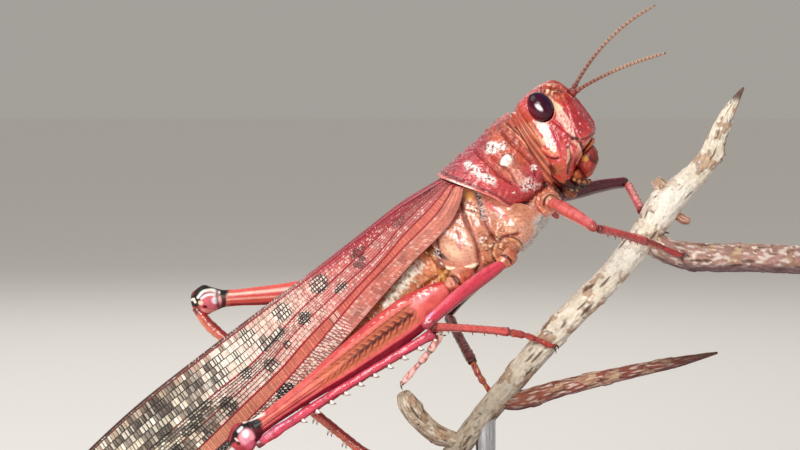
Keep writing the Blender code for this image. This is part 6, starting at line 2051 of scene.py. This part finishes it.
# %% Twig
TWIGS = {
    # name: route (x, y, z), radii, base colour
    "stem": (((0.2, 0, 12.6), (1.9, 0, 15.0), (3.7, 0, 17.4), (5.6, 0, 19.7), (7.3, 0, 22.0), (9.9, 0, 25.2),
              (12.5, 0, 28.4), (15.0, 0, 31.3), (17.8, 0, 34.2), (20.6, 0, 37.0), (22.7, 0, 39.5),
              (24.7, 0, 42.1), (26.3, 0, 44.6), (28.0, 0, 46.3), (29.6, 0, 47.9), (30.8, 0, 49.6),
              (31.6, 0, 51.5), (32.4, 0, 53.5), (33.3, 0, 55.1), (34.0, 0, 56.2)),
             (1.15, 1.1, 1.1, 1.1, 1.15, 1.2, 1.25, 1.3, 1.3, 1.3, 1.35, 1.45, 1.7, 1.35, 1.15, 1.05, 0.95,
              0.7, 0.4, 0.1), shade(226, 216, 200)),
    "bud_stub": (((27.0, 0, 45.0), (26.1, -0.2, 46.2), (25.4, -0.3, 47.1)), (0.9, 0.75, 0.55),
                 shade(218, 196, 176)),
    "small_bud": (((27.4, 0, 43.6), (28.3, -0.2, 43.1), (28.8, -0.2, 43.0)), (0.4, 0.45, 0.3),
                  shade(170, 120, 96)),
    "side_shoot": (((24.2, 0, 41.4), (26.8, 0, 40.0), (29.4, 0, 39.45), (35.7, 0, 39.35), (41.0, 0, 39.1)),
                   (1.0, 1.25, 1.4, 1.4, 1.4), shade(176, 140, 132)),
    "thorn": (((9.8, 0, 24.9), (12.0, 0, 25.0), (16.0, 0, 26.2), (22.0, 0, 27.7), (27.9, 0, 29.0),
               (31.6, 0, 29.9)),
              (0.8, 0.95, 0.85, 0.7, 0.5, 0.12), shade(150, 88, 76)),
    "spur": (((5.6, 0, 20.8), (3.6, -1.2, 21.8), (2.0, -2.3, 23.4), (1.0, -3.1, 25.0), (0.6, -3.5, 25.9)),
             (0.85, 0.95, 1.0, 1.0, 0.75), shade(196, 178, 156)),
}
for name, (route, radii, ground) in TWIGS.items():
    route = np.array(route, float)
    reach = np.concatenate(([0], np.cumsum(np.linalg.norm(np.diff(route, axis=0), axis=1))))
    half = profile(*zip(reach / reach[-1], radii))
    rows = int(reach[-1] / 0.14)
    grid, share, up, aside = tube(route, rows, half, half, upward=(0, 1, 0.01), columns=96)
    distance = share * reach[-1]
    round_ = np.arctan2(up, aside)
    drawn_out = np.stack((distance * 0.45, np.cos(round_) * 2.4, np.sin(round_) * 2.4), -1)
    fibre = grain(drawn_out, 0.7, 51, 40)
    patches = grain(grid, 2.4, 54, 20) + 0.35 * grain(grid, 0.7, 58, 24)
    crack = ramp(-1.15, -1.6, grain(drawn_out * (1.0, 1.5, 1.5), 1.5, 52, 40))
    flaking = bell(patches, 0.55, 0.07) * ramp(-0.2, 0.5, grain(grid, 1.2, 59, 24))
    knots = ramp(0.9, 1.5, grain(grid, 2.6, 53, 20))
    thin = np.minimum(half(share), 1.0)
    knob = spot(grid[..., 0], grid[..., 2], (32.3, 49.2), (0.9, 0.8)) if name == "stem" else 0
    shaped = raised(grid, (0.025 * fibre - 0.08 * crack + 0.12 * knots - 0.07 * flaking + 0.3 * knob) * thin)
    coat = wash(share.shape, ground)
    paint(coat, (
        (ramp(0.1, 1.2, fibre), (252, 248, 240), 0.5),
        (ramp(0.55, 0.75, patches), (172, 138, 118), 0.8),
        (ramp(0.75, 1.2, patches) * ramp(-0.3, 0.5, fibre), (214, 190, 160), 0.6),
    ))
    if name == "stem":
        height = grid[..., 2]
        paint(coat, (
            (ramp(33, 24, height), (140, 128, 112), 0.65),
            (spot(grid[..., 0], height, (27.0, 44.6), (2.0, 2.6), -40, 0.5) + ramp(37, 39, height)
             * ramp(42, 40, height), (244, 240, 232), 0.7),
            (ramp(54.6, 55.4, height), (96, 66, 62), 0.9),
        ))
    if name == "side_shoot":
        paint(coat, (
            (ramp(0.9, 1.4, grain(grid, 0.7, 57, 24)), (240, 226, 214), 0.8),
            # Painted shade: the underside of the shoot darker.
            (ramp(-0.2, -0.9, grid[..., 2] - 39.3), (96, 66, 66), 0.7),
        ))
    if name == "thorn":
        paint(coat, (
            (ramp(0.5, 0.98, share), (70, 44, 38), 0.9),
            (ramp(0.3, 0.0, share), (120, 84, 66), 0.7),
        ))
    paint(coat, (
        (flaking, (50, 36, 34), 0.9),
        (crack, (84, 62, 52), 0.8),
        # Painted shade: the lower side of every twig a cool purple grey.
        (ramp(-0.2, -1.1, (grid[..., 2] - grid[..., 2].mean(1, keepdims=True)) / half(share)),
         (110, 90, 110), 0.5),
    ))
    make_shell("bark_" + name, shaped, coat, 0.3, bark_finish, ("perch",) if name == "stem" else (),
               placing=standing, domes=(0.05, 0.05))
print(len(TWIGS), "lengths of twig")

# %% [markdown]
# ## The stand
#
# The stand is bought wood and steel and should not take the eye off the insect: a turned and oiled base
# with grain running along it, and a brushed steel rod. Both keep their solid shape and get their finish
# from a shader, with the grain drawn out along the wood by squeezing the noise across it.

# %% Stand


def grained(name, pale, dark, squeeze, size, rough, coat_weight, metallic=0.0, bump=0.15):
    """Wood or brushed metal: a noise drawn out one way, between two tones."""
    material, tree, shader = new_material(name, {"Metallic": metallic, "Coat Weight": coat_weight})
    place = add_node(tree, "TexCoord", {}, "Object")
    drawn = add_node(tree, "Mapping", {"Scale": squeeze, "Vector": place}, "Vector")
    noise = add_node(tree, "TexNoise", {"Scale": 1 / (size * MM), "Detail": 6.0, "Distortion": 0.6,
                                        "Vector": drawn}, "Fac")
    tones = tree.nodes.new("ShaderNodeValToRGB")
    for element, position, tone in zip(tones.color_ramp.elements, (0.35, 0.66), (dark, pale)):
        element.position = position
        element.color = (*tone, 1)
    plug(tree, tones, {"Fac": noise})
    dullness = add_node(tree, "MapRange", {"To Min": rough[0], "To Max": rough[1], "Value": noise}, "Result")
    relief = add_node(tree, "Bump", {"Strength": bump, "Distance": 0.1 * MM, "Height": noise}, "Normal")
    plug(tree, shader, {"Base Color": tones.outputs["Color"], "Roughness": dullness, "Normal": relief})
    return material


oiled_wood = grained("oiled_wood", shade(150, 104, 70), shade(92, 58, 38), (0.12, 1.0, 1.0), 0.9,
                     (0.35, 0.6), 0.25)
brushed_steel = grained("brushed_steel", shade(196, 196, 200), shade(150, 150, 156), (1.0, 1.0, 0.08), 0.12,
                        (0.22, 0.4), 0.0, 1.0, 0.08)
for node, material in (("stand_base", oiled_wood), ("stand_rod", brushed_steel)):
    solid = nodes[node]
    targets = [solid, *solid.children_recursive]
    for target in targets:
        if target.type == "MESH" and not target.material_slots:
            target.data.materials.append(material)
        elif target.type == "MESH":
            for place in target.material_slots:
                place.material = material
print("stand dressed")

# %% [markdown]
# ## Down and fringes
#
# A locust is not bald. Under a lens its face and shield carry a short pale down, its breast a fringe of
# longer white hairs, and its legs sparse bristles. Each hair is a bent three-sided needle with its foot
# in the skin, leaning back along the body. Thousands of them stay cheap, because a needle is only seven
# points. They catch the light along the outlines, which is what softens the edge of a living insect.

# %% Down and fringes


HAIR_POINTS = 7
HAIR_HALF, HAIR_HALF_GROWTH = 0.008, 0.006


def down(name, skins, seed):
    """Hairs on a list of skins. Each skin is (grid, number, length, where, way they lie, tone)."""
    dice = np.random.default_rng(seed)
    points, faces, coats, places = [], [], [], []
    side = math.ceil(math.sqrt(len(skins)))
    for number, (grid, count, length, where, lie, tone) in enumerate(skins):
        rows, columns = grid.shape[:2]
        outward = normals(grid)
        weight = np.clip(where, 0, 1)[1:-1].ravel()
        chosen = dice.choice(weight.size, count, p=weight / weight.sum())
        row, column = chosen // columns + 1, chosen % columns
        out = outward[row, column]
        flat = np.array(lie) - out * (out @ np.array(lie))[:, None]
        flat /= np.linalg.norm(flat, axis=1, keepdims=True) + 1e-9
        aside = np.cross(out, flat)
        reach = length * dice.uniform(0.5, 1.2, count)[:, None]
        sway = aside * dice.normal(0, 0.25, count)[:, None]
        foot = grid[row, column] + aside * dice.normal(0, 0.04, count)[:, None] - out * 0.03
        middle = foot + (out * 0.5 + flat * 0.25 + sway * 0.5) * reach
        tip = foot + (out * 0.72 + flat * 0.72 + sway) * reach
        thin = HAIR_HALF + HAIR_HALF_GROWTH * reach
        for angle in (0, math.tau / 3, -math.tau / 3):
            around = (aside * math.cos(angle) + flat * math.sin(angle)) * thin
            points.append(np.stack((foot + around, middle + around * 0.75), 1))
        ring = np.concatenate(points[-3:], 1)
        points = points[:-3] + [np.concatenate((ring, tip[:, None]), 1)]
        tile = np.array((number % side, number // side)) / side
        root = tile + np.stack((column / columns, row / rows), 1) / side * 0.98
        spread = np.array(((0, 0), (0, 0.0015), (0.003, 0), (0.003, 0.0015), (0.0015, 0.003),
                           (0.0015, 0.002), (0.0015, 0.001)))
        places.append((root[:, None] + spread).reshape(-1, 2))
        coats.append(np.repeat(tone * dice.uniform(0.7, 1.0, (count, 1)), HAIR_POINTS, 0))
    hairs = np.concatenate([part.reshape(-1, 3) for part in points])
    corners = ((0, 2, 3, 1), (2, 4, 5, 3), (4, 0, 1, 5), (1, 3, 6), (3, 5, 6), (5, 1, 6), (0, 4, 2))
    for start in range(0, len(hairs), HAIR_POINTS):
        faces += [[corner + start for corner in face] for face in corners]
    piece = build(name, hairs, faces, np.concatenate(coats), np.full(len(hairs), 0.4), hair_finish,
                  unwrap=np.concatenate(places))
    print(name, "has", len(hairs) // HAIR_POINTS, "hairs")


x, y, z = np.moveaxis(head_shaped, -1, 0)
face_down = ((0.08 + ramp(6.0, 6.8, z) + 0.7 * ramp(15.2, 15.8, x)) * ramp(0.95, 1.2, eye_gap)
             * (1 - 0.8 * cheek_glare))
x, y, z = np.moveaxis(shield_shaped, -1, 0)
crest_down = 0.06 + 1.6 * ramp(5.0, 6.4, z)
down("head_and_shield_down",
     ((head_shaped, 1100, 0.2, face_down, (-0.4, 0, -1.0), shade(244, 184, 182)),
      (shield_shaped, 2400, 0.26, crest_down, (-1.0, 0, 0.1), shade(240, 160, 174))), 71)
x, y, z = np.moveaxis(chest_shaped, -1, 0)
fringe = ramp(4.6, 5.8, x) * ramp(-2.8, -3.8, z) + 0.3 * ramp(-4.2, -4.8, z) * ramp(2.0, 4.0, x)
IVORY = shade(255, 253, 250)
down("breast_fringe", ((chest_shaped, 3600, 0.42, fringe, (0.5, 0, -0.8), IVORY),
                       (chest_shaped, 700, 0.2, 1 + 0 * x, (-1.0, 0, -0.3), IVORY)), 72)
x, y, z = np.moveaxis(belly_shaped, -1, 0)
patch = ramp(2.5, 1.0, np.hypot((x + 8.4) / 1.4, z - 0.1)) * ramp(1.2, 2.0, np.abs(y)) + 0.04
down("belly_down", ((belly_shaped, 2600, 0.4, patch, (-1.0, 0, -0.2), IVORY),), 73)
down("leg_down",
     [(skin, 150, 0.2, 1 + 0 * skin[..., 0], skin[-1].mean(0) - skin[0].mean(0), shade(236, 170, 170))
      for skin in downy], 74)

# %% [markdown]
# ## Floor and light
#
# A studio for a small shiny thing needs large soft lights close by, because every light shows up as a
# shape in the varnish. The strongest is a warm window above the camera and a little to its left, which
# models the plates and leaves the sparks on the pits. A cooler, wider one above and to the left stands for
# the sky, a weak one from the right keeps the shadows open, and one from behind draws a thin bright rim
# along the back and the down. The floor and the room are plain and pale.

# %% Floor and light
floor_mesh = bpy.data.meshes.new("floor")
FLOOR_REACH = 6.0
floor_mesh.from_pydata([(-FLOOR_REACH, -FLOOR_REACH, 0), (FLOOR_REACH, -FLOOR_REACH, 0),
                        (FLOOR_REACH, FLOOR_REACH, 0), (-FLOOR_REACH, FLOOR_REACH, 0)], [], [(0, 1, 2, 3)])
floor = bpy.data.objects.new("floor", floor_mesh)
bpy.context.scene.collection.objects.link(floor)
floor_paint, _, _ = new_material("floor_paint", {"Base Color": (*shade(252, 250, 247), 1), "Roughness": 0.9})
floor_mesh.materials.append(floor_paint)
floor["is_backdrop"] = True

room = bpy.data.worlds.new("room")
room.use_nodes = True
room.node_tree.nodes["Background"].inputs["Color"].default_value = (*shade(232, 226, 218), 1)
room.node_tree.nodes["Background"].inputs["Strength"].default_value = 0.46
bpy.context.scene.world = room
bpy.context.scene.view_settings.view_transform = "Standard"

LIGHTS = {
    # name: (place, width and height in millimetres, watts, colour)
    "sun_window": ((-90, -287, 189), (120, 170), 0.85, (1.0, 0.96, 0.9)),
    "sky_light": ((-260, -60, 330), (220, 220), 0.42, (0.93, 0.96, 1.0)),
    "fill_light": ((330, -160, 120), (300, 300), 0.1, (0.95, 0.96, 1.0)),
    "rim_light": ((-60, 320, 300), (260, 260), 0.35, (1.0, 0.97, 0.94)),
}
for name, (place, size, watts, colour) in LIGHTS.items():
    data = bpy.data.lights.new(name, "AREA")
    data.shape = "RECTANGLE"
    data.size, data.size_y = size[0] * MM, size[1] * MM
    data.energy = watts
    data.color = colour
    lamp = bpy.data.objects.new(name, data)
    lamp.location = Vector(place) * MM
    lamp.rotation_mode = "QUATERNION"
    lamp.rotation_quaternion = (Vector(place) * MM - AIM * MM).to_track_quat("Z", "Y")
    bpy.context.scene.collection.objects.link(lamp)
print(len(LIGHTS), "lights")

# %% [markdown]
# ## The size of the dressed model
#
# The dressing must not change the size of the model, so the box of the solids and the box of the dressed
# model are printed side by side.

# %% Size and finish
dressed_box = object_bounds()
for word, box in (("solids", solid_box), ("dressed", dressed_box)):
    print(word, [[round(value / MM, 2) for value in corner] for corner in box])
